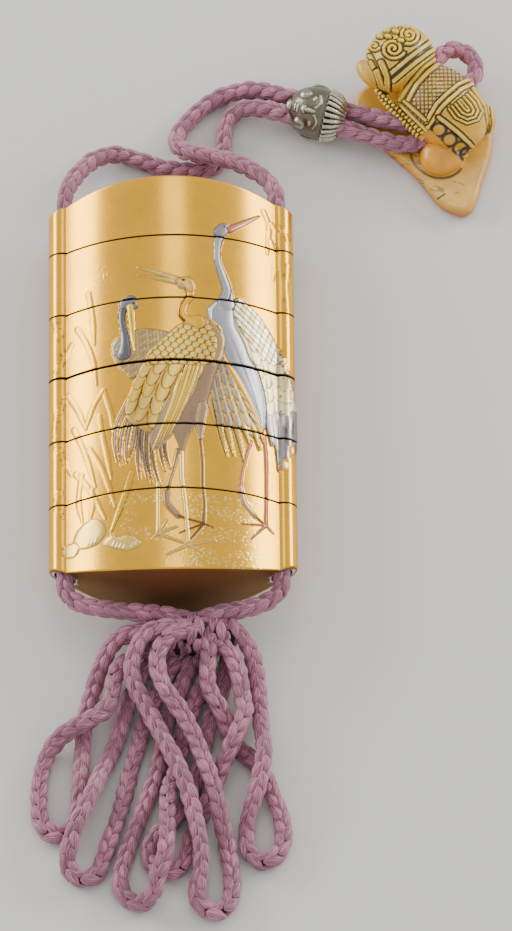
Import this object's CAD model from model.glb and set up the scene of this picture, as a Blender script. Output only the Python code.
import math

import bpy
import numpy as np
from mathutils import Matrix, Vector


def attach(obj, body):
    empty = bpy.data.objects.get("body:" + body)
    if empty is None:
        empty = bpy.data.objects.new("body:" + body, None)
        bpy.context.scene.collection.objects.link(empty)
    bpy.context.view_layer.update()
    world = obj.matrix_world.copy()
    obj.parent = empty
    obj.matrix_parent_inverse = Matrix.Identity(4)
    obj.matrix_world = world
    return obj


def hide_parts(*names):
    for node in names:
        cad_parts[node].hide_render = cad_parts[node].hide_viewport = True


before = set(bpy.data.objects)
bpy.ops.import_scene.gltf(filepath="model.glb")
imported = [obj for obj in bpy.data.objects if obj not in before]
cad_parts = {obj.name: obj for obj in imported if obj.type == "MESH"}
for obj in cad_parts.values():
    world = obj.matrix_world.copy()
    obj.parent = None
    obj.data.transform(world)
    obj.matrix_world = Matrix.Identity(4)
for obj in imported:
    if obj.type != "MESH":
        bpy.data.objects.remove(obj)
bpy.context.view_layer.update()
MM = 0.001


# ---------------------------------------------------------------- table top, light and camera
# A pale table top in soft studio light, seen from high in front of the case's foot.

def linear(hex_colour):
    """sRGB hex to the linear RGBA that the shader sockets take."""
    channels = [int(hex_colour[i:i + 2], 16) / 255 for i in (1, 3, 5)]
    return [c / 12.92 if c <= 0.04045 else ((c + 0.055) / 1.055) ** 2.4 for c in channels] + [1.0]


def add_node(tree, kind, inputs=None, **settings):
    """A node with its settings, and with inputs that are values or other nodes' output sockets."""
    node = tree.nodes.new(kind)
    for name, value in settings.items():
        setattr(node, name, value)
    for key, value in (inputs or {}).items():
        if isinstance(value, bpy.types.NodeSocket):
            tree.links.new(value, node.inputs[key])
        else:
            node.inputs[key].default_value = value
    return node


def new_material(name):
    """An empty material with its output node, as (material, tree, output)."""
    material = bpy.data.materials.new(name)
    material.use_nodes = True
    tree = material.node_tree
    tree.nodes.clear()
    return material, tree, tree.nodes.new("ShaderNodeOutputMaterial")


def mesh_object(name, vertices, faces, smooth=True):
    """A mesh object at the origin, linked to the scene."""
    mesh = bpy.data.meshes.new(name)
    mesh.from_pydata([tuple(v) for v in vertices], [], [tuple(f) for f in faces])
    mesh.polygons.foreach_set("use_smooth", [smooth] * len(mesh.polygons))
    mesh.update()
    piece = bpy.data.objects.new(name, mesh)
    bpy.context.scene.collection.objects.link(piece)
    return piece


def tube_faces(around, levels, first=0, inside_out=False):
    """The faces round a stack of equal rings of vertices, with both ends capped."""
    faces = []
    for i in range(levels - 1):
        for j in range(around):
            a, k = first + i * around, (j + 1) % around
            face = (a + j, a + k, a + around + k, a + around + j)
            faces.append(face[:1] + face[:0:-1] if inside_out else face)
    foot = tuple(first + j for j in reversed(range(around)))
    head = tuple(first + (levels - 1) * around + j for j in range(around))
    return faces + ([foot[::-1], head[::-1]] if inside_out else [foot, head])


def area_light(name, place, aim, width, height, power, colour="#ffffff"):
    light = bpy.data.lights.new(name, "AREA")
    light.shape = "RECTANGLE"
    light.size = width
    light.size_y = height
    light.energy = power
    light.color = linear(colour)[:3]
    lamp = bpy.data.objects.new(name, light)
    bpy.context.scene.collection.objects.link(lamp)
    lamp.location = place
    lamp.rotation_euler = (Vector(aim) - Vector(place)).to_track_quat("-Z", "Y").to_euler()


FLOOR_REACH = 3.0
floor = mesh_object("floor", [(-FLOOR_REACH, -FLOOR_REACH, 0), (FLOOR_REACH, -FLOOR_REACH, 0),
                              (FLOOR_REACH, FLOOR_REACH, 0), (-FLOOR_REACH, FLOOR_REACH, 0)],
                    [(0, 1, 2, 3)])
floor_paint, tree, output = new_material("floor_paint")
shader = add_node(tree, "ShaderNodeBsdfPrincipled",
                  {"Base Color": linear("#d9d6d1"), "Roughness": 0.6})
tree.links.new(shader.outputs["BSDF"], output.inputs["Surface"])
floor.data.materials.append(floor_paint)

world = bpy.data.worlds.new("studio")
bpy.context.scene.world = world
world.use_nodes = True
world.node_tree.nodes["Background"].inputs["Color"].default_value = linear("#eef0f2")
world.node_tree.nodes["Background"].inputs["Strength"].default_value = 1.1
area_light("left_softbox", (-0.80, 0.46, 0.38), (0, 0, 0.01), 0.8, 0.3, 7)
area_light("right_softbox", (0.81, 0.46, 0.37), (0, 0, 0.01), 0.8, 0.3, 7)
area_light("overhead", (0.03, 0.55, 1.07), (0, 0, 0), 0.26, 0.6, 1.0)

CAMERA_TILT = math.radians(27.28)
CAMERA_ROLL = math.radians(-0.73)
CAMERA_DISTANCE = 1.7988
CAMERA_AIM = Vector((0.0175, -0.0179, 0.011))
CAMERA_LENS = 331.8

camera_data = bpy.data.cameras.new("camera")
camera_data.lens = CAMERA_LENS
camera_data.sensor_width = 36
camera_data.clip_end = 10
camera = bpy.data.objects.new("camera", camera_data)
bpy.context.scene.collection.objects.link(camera)
back = Vector((0, -math.sin(CAMERA_TILT), math.cos(CAMERA_TILT)))
camera.matrix_world = (Matrix.Translation(CAMERA_AIM + CAMERA_DISTANCE * back)
                       @ Matrix.Rotation(CAMERA_TILT, 4, "X") @ Matrix.Rotation(CAMERA_ROLL, 4, "Z"))
bpy.context.scene.camera = camera


# ---------------------------------------------------------------- braided silk cord
# One silk cord, braided from four strands, in the stretches that the frame gives it. Each plump
# stitch is an instance on the cord's line; the core between them lies in shadow.

CORD_DIAMETER = 4.2 * MM
CORE_RADIUS = 1.2 * MM
STITCH_PITCH = 3.2 * MM
STITCH_LENGTH = 4.5 * MM
STITCH_WIDTH = 2.5 * MM
STITCH_THICKNESS = 1.75 * MM
STITCH_LEAN = math.radians(20)

LEFT_CORD = [
    (54, 62.8, 5.2), (50, 62, 5.3), (44.5, 63.3, 5.6), (38.1, 65.7, 5.6), (30.95, 67.85, 5.6),
    (23.8, 70, 5.6), (19.2, 71.9, 4.4), (15, 72.3, 3), (12.2, 69.8, 2.2), (11.5, 66, 2.1),
    (11.2, 62.2, 2.1), (9, 58.9, 2.1), (4.6, 57.9, 2.1), (-1.4, 58.7, 2.1), (-6.8, 60.8, 2.1),
    (-11.6, 62, 2.6), (-16.2, 59.9, 4.2), (-19.4, 55.6, 6.6), (-21.6, 51, 8.8),
    (-22.5, 47.2, 10.1), (-22.6, 43, 10.3), (-22.6, -43, 10.3), (-22.3, -46.6, 10.2),
    (-19.6, -49.2, 10), (-14, -50.4, 9.7), (-8, -51, 9.2), (-2, -51.3, 8.7), (2, -52, 8.2),
]
RIGHT_CORD = [
    (51.8, 66.2, 6.8), (48, 67, 6.7), (44.2, 68, 6.4), (39.4, 69.8, 5.6), (32.25, 71.95, 5.6),
    (25.1, 74.1, 5.6), (20.6, 76, 4.6), (15.8, 77, 3.2), (10.2, 75.6, 2.3), (5.2, 71.8, 2.1),
    (2, 67.4, 2.3), (1.3, 63.6, 3.8), (3.4, 60.6, 5.9), (8.4, 59, 6.6), (13.4, 57.5, 6.9),
    (17.8, 54.6, 7.8), (20.9, 51, 9.2), (22.4, 47.2, 10.1), (22.6, 43, 10.3), (22.6, -43, 10.3),
    (22.3, -46.6, 10.2), (19.2, -49.4, 10), (14.5, -50.8, 9.6), (10, -51.3, 9.2),
    (7, -52.2, 8.7),
]
NETSUKE_LOOP = [
    (54.3, 74.2, 8.1), (56.3, 78.7, 7.6), (57, 80.4, 7.4), (57.9, 82.2, 7.1), (59.2, 83.8, 6.8),
    (60.8, 84.7, 6.4), (62.6, 84.6, 6.2), (64.2, 83.6, 6.1), (65.4, 82, 6.1), (65.9, 80, 6.3),
    (65.6, 78, 6.6), (64.6, 76.3, 6.9), (63.2, 74.7, 7.3), (60, 71, 8.3),
]
BOW_LOOPS = [
    [
        (1, -54.6, 6.4), (-4.8, -54.2, 6.6), (-9, -54.8, 7), (-12.2, -56.3, 6.4),
        (-14.2, -59, 5.5), (-15.9, -62.4, 3.9), (-17, -66, 2.6), (-18.2, -69.8, 2.1),
        (-19, -74, 2.1), (-19.2, -79, 2.1), (-19.6, -84.4, 2.1), (-20, -90, 2.1),
        (-20.4, -94.4, 2.1), (-22.2, -97.8, 2.1), (-25.2, -98.4, 2.1), (-27.6, -96, 2.1),
        (-28.3, -91.6, 2.1), (-28, -86.4, 2.1), (-27, -81.6, 2.1), (-25, -78.2, 3),
        (-21.8, -76.2, 5.5), (-18, -74.6, 6.6), (-14.6, -72.2, 6.6), (-12.9, -68.6, 6.6),
        (-12.4, -64.4, 6.3), (-10.3, -60.6, 4.7), (-7.4, -57.8, 4.3), (-2, -57, 4.3),
    ],
    [
        (0, -57, 2.6), (-4.4, -59.2, 2.3), (-7.4, -63.2, 2.1), (-9.4, -67.8, 2.1),
        (-10.8, -72.4, 2.1), (-12, -77, 2.1), (-13.6, -81.2, 2.1), (-15.4, -85.2, 3.2),
        (-16.8, -89.4, 5), (-18.4, -93.8, 6.4), (-20.4, -98.2, 6.5), (-21.9, -102.2, 4.8),
        (-22.2, -105.8, 2.6), (-20, -108.4, 2.1), (-16.8, -107.8, 2.1), (-15.1, -104.4, 2.1),
        (-13.7, -100, 2.1), (-11.8, -94.4, 2.1), (-10.3, -88.6, 2.1), (-9, -83.2, 2.1),
        (-7.6, -78, 2.1), (-6.2, -72.8, 2.1), (-4.3, -67.8, 2.1), (-2.3, -63.4, 2.2),
        (0.4, -59, 2.4),
    ],
    [
        (3.8, -59, 2.3), (2, -63.4, 2.1), (0, -68.2, 2.1), (-1.6, -73, 2.1), (-2.6, -78, 2.1),
        (-3.6, -83, 2.1), (-5, -88.2, 2.1), (-7, -93.6, 2.1), (-8.9, -99, 2.1),
        (-10.6, -104.4, 2.1), (-11.6, -109.2, 2.1), (-10.2, -113, 2.1), (-7.2, -114.2, 2.1),
        (-4.8, -112.6, 3.9), (-3.5, -109.2, 6.1), (-2.2, -105, 6.5), (-1.7, -100.4, 6.5),
        (-1.6, -96, 6.3), (-1.6, -92, 5.7), (-1.1, -88, 3.5), (0.4, -83.6, 2.1),
        (1.3, -78.6, 2.1), (2.6, -73.4, 2.1), (4.4, -68.2, 2.1), (6.3, -63.6, 2.1),
        (7, -59, 2.6),
    ],
    [
        (3, -55, 9.7), (-2.6, -55.1, 10.3), (-6.4, -57.2, 10), (-8.5, -61.6, 9.2),
        (-8.6, -66.2, 8.2), (-6.4, -70.8, 7.2), (-4, -75.4, 6.6), (-1.8, -80, 6.5),
        (0.3, -84.6, 7), (2, -89.2, 7.5), (3.3, -93.8, 7), (4.4, -98.6, 6.4), (5.2, -103.4, 5.6),
        (5, -108.2, 3.6), (4.2, -112.2, 2.3), (5.5, -115.2, 2.1), (8.2, -116.4, 2.1),
        (10.7, -114.6, 2.1), (11.5, -111.2, 2.1), (11.3, -107, 2.1), (10.6, -102.4, 2.8),
        (9.6, -97.6, 4.8), (8.6, -92.6, 6.6), (7.2, -87.6, 7), (5.6, -82.8, 6.6),
        (3.8, -78, 6.9), (1.4, -73.4, 7.8), (-1.4, -69.4, 8.9), (-3.3, -65, 9.6),
        (-3.2, -60.6, 10), (-0.8, -57, 10.2), (4, -55, 9.8),
    ],
    [
        (11, -58.6, 2.5), (10.6, -63, 2.1), (9.1, -68, 2.1), (7.4, -73, 2.1), (6.1, -78, 2.1),
        (5, -83, 2.1), (3.6, -88, 2.1), (1.8, -92.6, 2.1), (-1.2, -96.4, 2.1),
        (-4.2, -99.2, 2.1), (-5.6, -102.8, 2.1), (-4.4, -106.2, 2.1), (-1.2, -107.3, 2.1),
        (1.6, -105.2, 2.1), (2.8, -101, 2.1), (4.4, -96.6, 2.1), (6.2, -92.4, 2.1),
        (7.8, -88.6, 2.3), (9.4, -84.8, 3.7), (11.4, -81, 6), (13.2, -77, 7.2), (14.5, -73, 7),
        (14, -69, 6.5), (13.4, -64.8, 6.7), (12, -60.6, 7.4), (9, -56.8, 7.6),
    ],
    [
        (7.5, -53.6, 8.2), (11.8, -54.2, 7.8), (14.8, -56.8, 6.8), (16.4, -60.4, 5.6),
        (17.2, -64.6, 4.4), (17.6, -69, 3.4), (17.8, -73.4, 3.2), (18.2, -77.8, 4.6),
        (18.4, -82.2, 6.3), (17.8, -86.6, 6.5), (16.6, -90.8, 5.2), (15.2, -94.8, 3.2),
        (14.6, -98.8, 2.1), (15.1, -102.8, 2.1), (17.6, -105, 2.1), (20.8, -103.6, 2.1),
        (22.2, -99.8, 2.1), (21.8, -95.2, 2.1), (20.4, -90.8, 2.1), (18.8, -86.6, 2.1),
        (16.6, -82.8, 2.1), (13.8, -79.8, 2.1), (11.8, -78, 2.1), (10.8, -74.8, 4.2),
        (9, -71.2, 6.6), (7.2, -67.6, 6.9), (6.9, -63.6, 7.1), (7.2, -60, 7.8), (6.5, -56, 8.2),
    ],
]


def spline(points, per_span=8):
    """Points close together on the smooth centripetal line through a route."""
    p = np.array(points, float)
    p = np.vstack([2 * p[0] - p[1], p, 2 * p[-1] - p[-2]])
    line = []
    for p0, p1, p2, p3 in zip(p, p[1:], p[2:], p[3:]):
        d0, d1, d2 = (math.sqrt(np.linalg.norm(b - a)) for a, b in ((p0, p1), (p1, p2), (p2, p3)))
        t1 = ((p1 - p0) / d0 - (p2 - p0) / (d0 + d1) + (p2 - p1) / d1) * d1
        t2 = ((p2 - p1) / d1 - (p3 - p1) / (d1 + d2) + (p3 - p2) / d2) * d1
        for t in np.arange(per_span) / per_span:
            line.append((2 * t**3 - 3 * t**2 + 1) * p1 + (t**3 - 2 * t**2 + t) * t1
                        + (3 * t**2 - 2 * t**3) * p2 + (t**3 - t**2) * t2)
    return np.array(line + [p[-2]])


def stitch_pair(name, side):
    """Two opposite stitches of one station, leaning the same way round the cord."""
    around, along = 8, 7
    vertices, faces, uvs = [], [], []
    for half_turn in (0, math.pi):
        first = len(vertices)
        turn = math.radians(45 * side) + half_turn
        for j in range(along + 1):
            t = j / along
            swell = math.sin(math.pi * min(max(t, 0.02), 0.98)) ** 0.62 * (1.12 - 0.3 * t)
            for i in range(around):
                a = 2 * math.pi * i / around
                across = 0.5 * STITCH_WIDTH * swell * math.cos(a)
                out = 0.5 * STITCH_THICKNESS * swell * math.sin(a)
                z = STITCH_LENGTH * (t - 0.5)
                lean = side * STITCH_LEAN
                y = across * math.cos(lean) - z * math.sin(lean)
                z = across * math.sin(lean) + z * math.cos(lean)
                lift = 0.5 * CORD_DIAMETER - 0.5 * STITCH_THICKNESS - 0.16 * abs(y) ** 2 / MM
                x = lift + out - 0.35 * MM * (t - 0.5)
                vertices.append((x * math.cos(turn) - y * math.sin(turn),
                                 x * math.sin(turn) + y * math.cos(turn), z))
        for j in range(along):
            for i in range(around):
                k = (i + 1) % around
                a = first + j * around
                b = a + around
                faces.append((a + i, a + k, b + k, b + i))
                uvs += [(i / around, j / along), ((i + 1) / around, j / along),
                        ((i + 1) / around, (j + 1) / along), (i / around, (j + 1) / along)]
        faces.append(tuple(first + i for i in reversed(range(around))))
        uvs += [(i / around, 0) for i in reversed(range(around))]
        faces.append(tuple(first + along * around + i for i in range(around)))
        uvs += [(i / around, 1) for i in range(around)]
    piece = mesh_object(name, vertices, faces)
    layer = piece.data.uv_layers.new(name="UVMap")
    layer.data.foreach_set("uv", np.array(uvs).ravel())
    return piece


def silk_material():
    """Mauve silk: fine yarns along each stitch, paler where they are rubbed, dark between them."""
    material, tree, output = new_material("dyed_braided_silk")
    uv = add_node(tree, "ShaderNodeUVMap", uv_map="UVMap").outputs["UV"]
    stretch = add_node(tree, "ShaderNodeMapping", {"Vector": uv, "Scale": (34, 1.6, 1)})
    shade = add_node(tree, "ShaderNodeAttribute", attribute_name="stitch_shade")
    yarns = add_node(tree, "ShaderNodeTexNoise",
                     {"Vector": stretch.outputs["Vector"], "W": shade.outputs["Fac"],
                      "Scale": 1.0, "Detail": 3.0, "Roughness": 0.6, "Distortion": 0.4},
                     noise_dimensions="4D")
    ramp = add_node(tree, "ShaderNodeValToRGB", {"Fac": yarns.outputs["Fac"]})
    ramp.color_ramp.elements[0].position = 0.3
    ramp.color_ramp.elements[0].color = linear("#4a2236")
    ramp.color_ramp.elements[1].position = 0.72
    ramp.color_ramp.elements[1].color = linear("#e0a0b2")
    ramp.color_ramp.elements.new(0.5).color = linear("#a5667c")
    tint = add_node(tree, "ShaderNodeMapRange",
                    {"Value": shade.outputs["Fac"], "To Min": 0.8, "To Max": 1.14})
    tone = add_node(tree, "ShaderNodeHueSaturation",
                    {"Color": ramp.outputs["Color"], "Value": tint.outputs["Result"]})
    bump = add_node(tree, "ShaderNodeBump", {"Height": yarns.outputs["Fac"], "Strength": 0.7,
                                             "Distance": 0.12 * MM})
    shader = add_node(tree, "ShaderNodeBsdfPrincipled",
                      {"Base Color": tone.outputs["Color"], "Normal": bump.outputs["Normal"],
                       "Roughness": 0.62, "Sheen Weight": 0.35, "Sheen Roughness": 0.4})
    tree.links.new(shader.outputs["BSDF"], output.inputs["Surface"])
    return material


def core_material():
    """The inside of the braid, which the stitches keep in shadow."""
    material, tree, output = new_material("shaded_silk_core")
    place = add_node(tree, "ShaderNodeTexCoord").outputs["Object"]
    fibres = add_node(tree, "ShaderNodeTexNoise", {"Vector": place, "Scale": 3000.0, "Detail": 2.0})
    ramp = add_node(tree, "ShaderNodeValToRGB", {"Fac": fibres.outputs["Fac"]})
    ramp.color_ramp.elements[0].color = linear("#0e0609")
    ramp.color_ramp.elements[1].color = linear("#26121b")
    shader = add_node(tree, "ShaderNodeBsdfPrincipled",
                      {"Base Color": ramp.outputs["Color"], "Roughness": 0.9})
    tree.links.new(shader.outputs["BSDF"], output.inputs["Surface"])
    return material


def braid_tree(even, odd):
    """Geometry Nodes tree that lays the two stitch pairs in turn along a curve."""
    tree = bpy.data.node_groups.new("braid", "GeometryNodeTree")
    face = tree.interface
    face.new_socket("Geometry", in_out="INPUT", socket_type="NodeSocketGeometry")
    face.new_socket("Spacing", in_out="INPUT", socket_type="NodeSocketFloat")
    face.new_socket("Core Radius", in_out="INPUT", socket_type="NodeSocketFloat")
    face.new_socket("Seed", in_out="INPUT", socket_type="NodeSocketInt")
    face.new_socket("Silk", in_out="INPUT", socket_type="NodeSocketMaterial")
    face.new_socket("Core", in_out="INPUT", socket_type="NodeSocketMaterial")
    face.new_socket("Geometry", in_out="OUTPUT", socket_type="NodeSocketGeometry")
    given = tree.nodes.new("NodeGroupInput").outputs
    line = add_node(tree, "GeometryNodeSetCurveNormal", {"Curve": given["Geometry"]}, mode="Z_UP")
    stations = add_node(tree, "GeometryNodeResampleCurve",
                        {"Curve": line.outputs["Curve"], "Length": given["Spacing"]}, mode="LENGTH")
    tangent = add_node(tree, "GeometryNodeInputTangent")
    normal = add_node(tree, "GeometryNodeInputNormal")
    along = add_node(tree, "FunctionNodeAlignRotationToVector",
                     {"Vector": tangent.outputs["Tangent"]}, axis="Z")
    upright = add_node(tree, "FunctionNodeAlignRotationToVector",
                       {"Rotation": along.outputs["Rotation"], "Vector": normal.outputs["Normal"]},
                       axis="X", pivot_axis="Z")
    index = add_node(tree, "GeometryNodeInputIndex")
    parity = add_node(tree, "ShaderNodeMath", {0: index.outputs["Index"], 1: 2.0}, operation="MODULO")
    size = add_node(tree, "FunctionNodeRandomValue",
                    {"Min": (0.93, 0.93, 0.95), "Max": (1.07, 1.07, 1.06), "Seed": given["Seed"]},
                    data_type="FLOAT_VECTOR")
    joined = tree.nodes.new("GeometryNodeJoinGeometry")
    for pair, compare in ((even, "LESS_THAN"), (odd, "GREATER_THAN")):
        pick = add_node(tree, "FunctionNodeCompare", {0: parity.outputs[0], 1: 0.5},
                        data_type="FLOAT", operation=compare)
        stitch = add_node(tree, "GeometryNodeObjectInfo", {"Object": pair})
        placed = add_node(tree, "GeometryNodeInstanceOnPoints",
                          {"Points": stations.outputs["Curve"], "Selection": pick.outputs["Result"],
                           "Instance": stitch.outputs["Geometry"],
                           "Rotation": upright.outputs["Rotation"], "Scale": size.outputs["Value"]})
        shade = add_node(tree, "FunctionNodeRandomValue", {"Seed": given["Seed"]}, data_type="FLOAT")
        shaded = add_node(tree, "GeometryNodeStoreNamedAttribute",
                          {"Geometry": placed.outputs["Instances"], "Name": "stitch_shade",
                           "Value": shade.outputs[1]}, data_type="FLOAT", domain="INSTANCE")
        tree.links.new(shaded.outputs["Geometry"], joined.inputs["Geometry"])
    real = add_node(tree, "GeometryNodeRealizeInstances", {"Geometry": joined.outputs["Geometry"]})
    silk = add_node(tree, "GeometryNodeSetMaterial",
                    {"Geometry": real.outputs["Geometry"], "Material": given["Silk"]})
    section = add_node(tree, "GeometryNodeCurvePrimitiveCircle",
                       {"Resolution": 8, "Radius": given["Core Radius"]})
    tube = add_node(tree, "GeometryNodeCurveToMesh",
                    {"Curve": line.outputs["Curve"], "Profile Curve": section.outputs["Curve"]})
    core = add_node(tree, "GeometryNodeSetMaterial",
                    {"Geometry": tube.outputs["Mesh"], "Material": given["Core"]})
    both = tree.nodes.new("GeometryNodeJoinGeometry")
    tree.links.new(silk.outputs["Geometry"], both.inputs["Geometry"])
    tree.links.new(core.outputs["Geometry"], both.inputs["Geometry"])
    result = tree.nodes.new("NodeGroupOutput")
    tree.links.new(both.outputs["Geometry"], result.inputs["Geometry"])
    return tree


def socket_id(tree, name):
    return next(item.identifier for item in tree.interface.items_tree
                if item.name == name and item.in_out == "INPUT")


def grow(name, carrier, tree, values):
    """The mesh that a Geometry Nodes tree makes from a carrier object, as a plain mesh object."""
    modifier = carrier.modifiers.new("grow", "NODES")
    modifier.node_group = tree
    for key, value in values.items():
        modifier[socket_id(tree, key)] = value
    graph = bpy.context.evaluated_depsgraph_get()
    mesh = bpy.data.meshes.new_from_object(carrier.evaluated_get(graph))
    mesh.name = name
    piece = bpy.data.objects.new(name, mesh)
    bpy.context.scene.collection.objects.link(piece)
    bpy.data.objects.remove(carrier)
    return piece


def curve_object(name, line):
    curve = bpy.data.curves.new(name, "CURVE")
    curve.dimensions = "3D"
    spline = curve.splines.new("POLY")
    spline.points.add(len(line) - 1)
    spline.points.foreach_set("co", np.hstack([line, np.ones((len(line), 1))]).ravel())
    carrier = bpy.data.objects.new(name, curve)
    bpy.context.scene.collection.objects.link(carrier)
    return carrier


even_stitches = stitch_pair("stitches_even", 1)
odd_stitches = stitch_pair("stitches_odd", -1)
braid = braid_tree(even_stitches, odd_stitches)
silk = silk_material()
core = core_material()


def braided_cord(name, route, seed):
    line = spline(route) * MM
    piece = grow(name, curve_object(name + "_line", line), braid, {
        "Spacing": 0.5 * STITCH_PITCH,
        "Core Radius": CORE_RADIUS,
        "Seed": seed,
        "Silk": silk,
        "Core": core,
    })
    return piece, line


def declare_cord(piece, nodes):
    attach(piece, "root")
    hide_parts(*nodes)


STRETCHES = ("netsuke", "top", "channel", "under")
left, left_line = braided_cord("cord_left_braid", LEFT_CORD, 1)
declare_cord(left, [f"cord_left_{part}" for part in STRETCHES])
right, right_line = braided_cord("cord_right_braid", RIGHT_CORD, 2)
declare_cord(right, [f"cord_right_{part}" for part in STRETCHES])
back_loop, back_line = braided_cord("netsuke_loop_braid", NETSUKE_LOOP, 3)
declare_cord(back_loop, ["cord_netsuke_loop"])
for i, route in enumerate(BOW_LOOPS, 1):
    loop, loop_line = braided_cord(f"bow_loop_{i}_braid", route, 10 + i)
    declare_cord(loop, [f"bow_loop_{i}"])

# ---------------------------------------------------------------- knot over the bow
# The cord's own strands, gathered and wound in five turns over the roots of the loops. It is a soft
# lump that holds by its own friction, dark where the strands go under.

KNOT_CENTRE = (4.4, -55.2, 5.9)
KNOT_HALF = (7.2, 2.3, 3.0)
KNOT_SQUARENESS = 2.6


# For each turn: its place across the knot, its half length and height, and its slant
KNOT_TURNS = ((4.2, 2.85, 3.75, 0.3), (0.4, 2.5, 3.3, -0.9), (8.2, 2.5, 3.3, 0.9),
              (-2.4, 1.7, 2.5, -0.6), (11.2, 1.7, 2.5, 0.6))


def wound_strand(x, wide, high, slant):
    """One turn round the knot, from under it over the top and back."""
    _, centre_y, centre_z = KNOT_CENTRE
    return [(x + slant * math.sin(a), centre_y + wide * math.cos(a), centre_z + high * math.sin(a))
            for a in np.radians(np.linspace(-90, 262, 15))]


def knot_core():
    """The hidden strands inside the knot, as one squarish lump."""
    around, rows = 28, 16
    vertices = []
    for i in range(1, rows):
        for j in range(around):
            fall, a = math.pi * i / rows, 2 * math.pi * j / around
            way = np.array([math.sin(fall) * math.cos(a), math.sin(fall) * math.sin(a), math.cos(fall)])
            way /= (np.abs(way) ** KNOT_SQUARENESS).sum() ** (1 / KNOT_SQUARENESS)
            vertices.append((np.array(KNOT_CENTRE) + way * KNOT_HALF) * MM)
    lump = mesh_object("bow_knot_core", vertices, tube_faces(around, rows - 1, inside_out=True))
    lump.data.materials.append(core)
    return lump


def joined(pieces):
    """The first piece with the others' meshes added to it."""
    with bpy.context.temp_override(active_object=pieces[0], object=pieces[0],
                                   selected_editable_objects=pieces, selected_objects=pieces):
        bpy.ops.object.join()
    return pieces[0]


strands = [knot_core()]
for i, turn in enumerate(KNOT_TURNS):
    strand, _ = braided_cord(f"bow_knot_strand_{i}", wound_strand(*turn), 30 + i)
    strands.append(strand)
knot = joined(strands)
knot.name = "bow_knot_strands"
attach(knot, "root")
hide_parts("bow_knot")
for stitches in (even_stitches, odd_stitches):
    bpy.data.objects.remove(stitches)


# ---------------------------------------------------------------- the picture on the case
# Cranes, reeds and rocks in takamaki-e: built up in lacquer and charcoal powder a few tenths of
# a millimetre thick, then covered with gold, silver and copper powders and engraved with lines.

PICTURE_CELL = 0.1
picture_x = np.arange(-26.0, 26.05, PICTURE_CELL)
picture_y = np.arange(-48.0, 48.05, PICTURE_CELL)
X, Y = np.meshgrid(picture_x, picture_y)
GOLD, PALE_GOLD = "#eeb02e", "#fad65e"
ENGRAVED, TAUPE, SILVER, DARK_SILVER = "#38230f", "#94785c", "#a3a2a3", "#66646a"
COPPER, WHITE_GOLD, HORN = "#b8705c", "#ffe79a", "#f2c64e"
picture_height = np.zeros(X.shape)
picture_matt = np.zeros(X.shape)
picture_colour = np.ones(X.shape + (3,)) * linear(GOLD)[:3]


def smooth_step(value):
    value = np.clip(value, 0, 1)
    return value * value * (3 - 2 * value)


def patch_of(points, margin):
    """The part of the picture that the points reach, with a margin, as an index."""
    low = np.min(points, axis=0) - margin
    high = np.max(points, axis=0) + margin
    x0, x1 = np.searchsorted(picture_x, (low[0], high[0]))
    y0, y1 = np.searchsorted(picture_y, (low[1], high[1]))
    return slice(y0, y1), slice(x0, x1)


def line_distance(line, x, y):
    """Distance of points from a line, and how far along it the nearest place is, from 0 to 1."""
    steps = np.linalg.norm(np.diff(line, axis=0), axis=1)
    best, place = np.full(x.shape, 1e9), np.zeros(x.shape)
    run = 0.0
    for (ax, ay), (bx, by), step in zip(line, line[1:], steps):
        t = np.clip(((x - ax) * (bx - ax) + (y - ay) * (by - ay)) / max(step * step, 1e-9), 0, 1)
        distance = np.hypot(x - ax - t * (bx - ax), y - ay - t * (by - ay))
        closer = distance < best
        best[closer] = distance[closer]
        place[closer] = (run + t[closer] * step) / steps.sum()
        run += step
    return best, place


def nearest_on(line, patch):
    return line_distance(line, X[patch], Y[patch])


def lay(patch, cover, colour, height, matt=0.3):
    """Puts a layer on the picture: cover says where, from 0 to 1."""
    shade = cover[..., None]
    tint = linear(colour)[:3] if isinstance(colour, str) else colour
    picture_colour[patch] = picture_colour[patch] * (1 - shade) + np.array(tint) * shade
    if height is not None:
        picture_height[patch] = picture_height[patch] * (1 - cover) + height * cover
    picture_matt[patch] = picture_matt[patch] * (1 - cover) + matt * cover


def stroke(points, widths, colour, height=0.1, lift=0.0, outline=None, outline_width=0.2, matt=0.3):
    line = spline(points, 6) if len(points) > 2 else np.array(points, float)
    reach = max(widths) / 2 + (outline_width if outline else 0) + 0.3
    patch = patch_of(line, reach)
    distance, place = nearest_on(line, patch)
    half = np.interp(place, np.linspace(0, 1, len(widths)), np.array(widths) / 2)
    if outline:
        lay(patch, smooth_step((half + outline_width - distance) / PICTURE_CELL), outline, None)
    inside = smooth_step((half - distance) / PICTURE_CELL + 0.5)
    crown = np.sqrt(np.clip(1 - (distance / np.maximum(half, 0.05)) ** 2, 0, 1))
    lay(patch, inside, colour, lift + height * crown, matt)


def inside_of(outline, patch):
    """Distance from a closed outline, more than 0 inside it."""
    x, y = X[patch], Y[patch]
    ring = np.vstack([outline, outline[:1]])
    distance, _ = nearest_on(ring, patch)
    odd = np.zeros(x.shape, bool)
    for (ax, ay), (bx, by) in zip(ring, ring[1:]):
        if ay != by:
            crosses = (ay > y) != (by > y)
            odd ^= crosses & (x < (bx - ax) * (y - ay) / (by - ay) + ax)
    return np.where(odd, distance, -distance)


def closed_spline(points, per_span=5):
    count = len(points)
    around = [points[(i - 2) % count] for i in range(count + 5)]
    return spline(around, per_span)[2 * per_span:(count + 2) * per_span]


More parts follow.
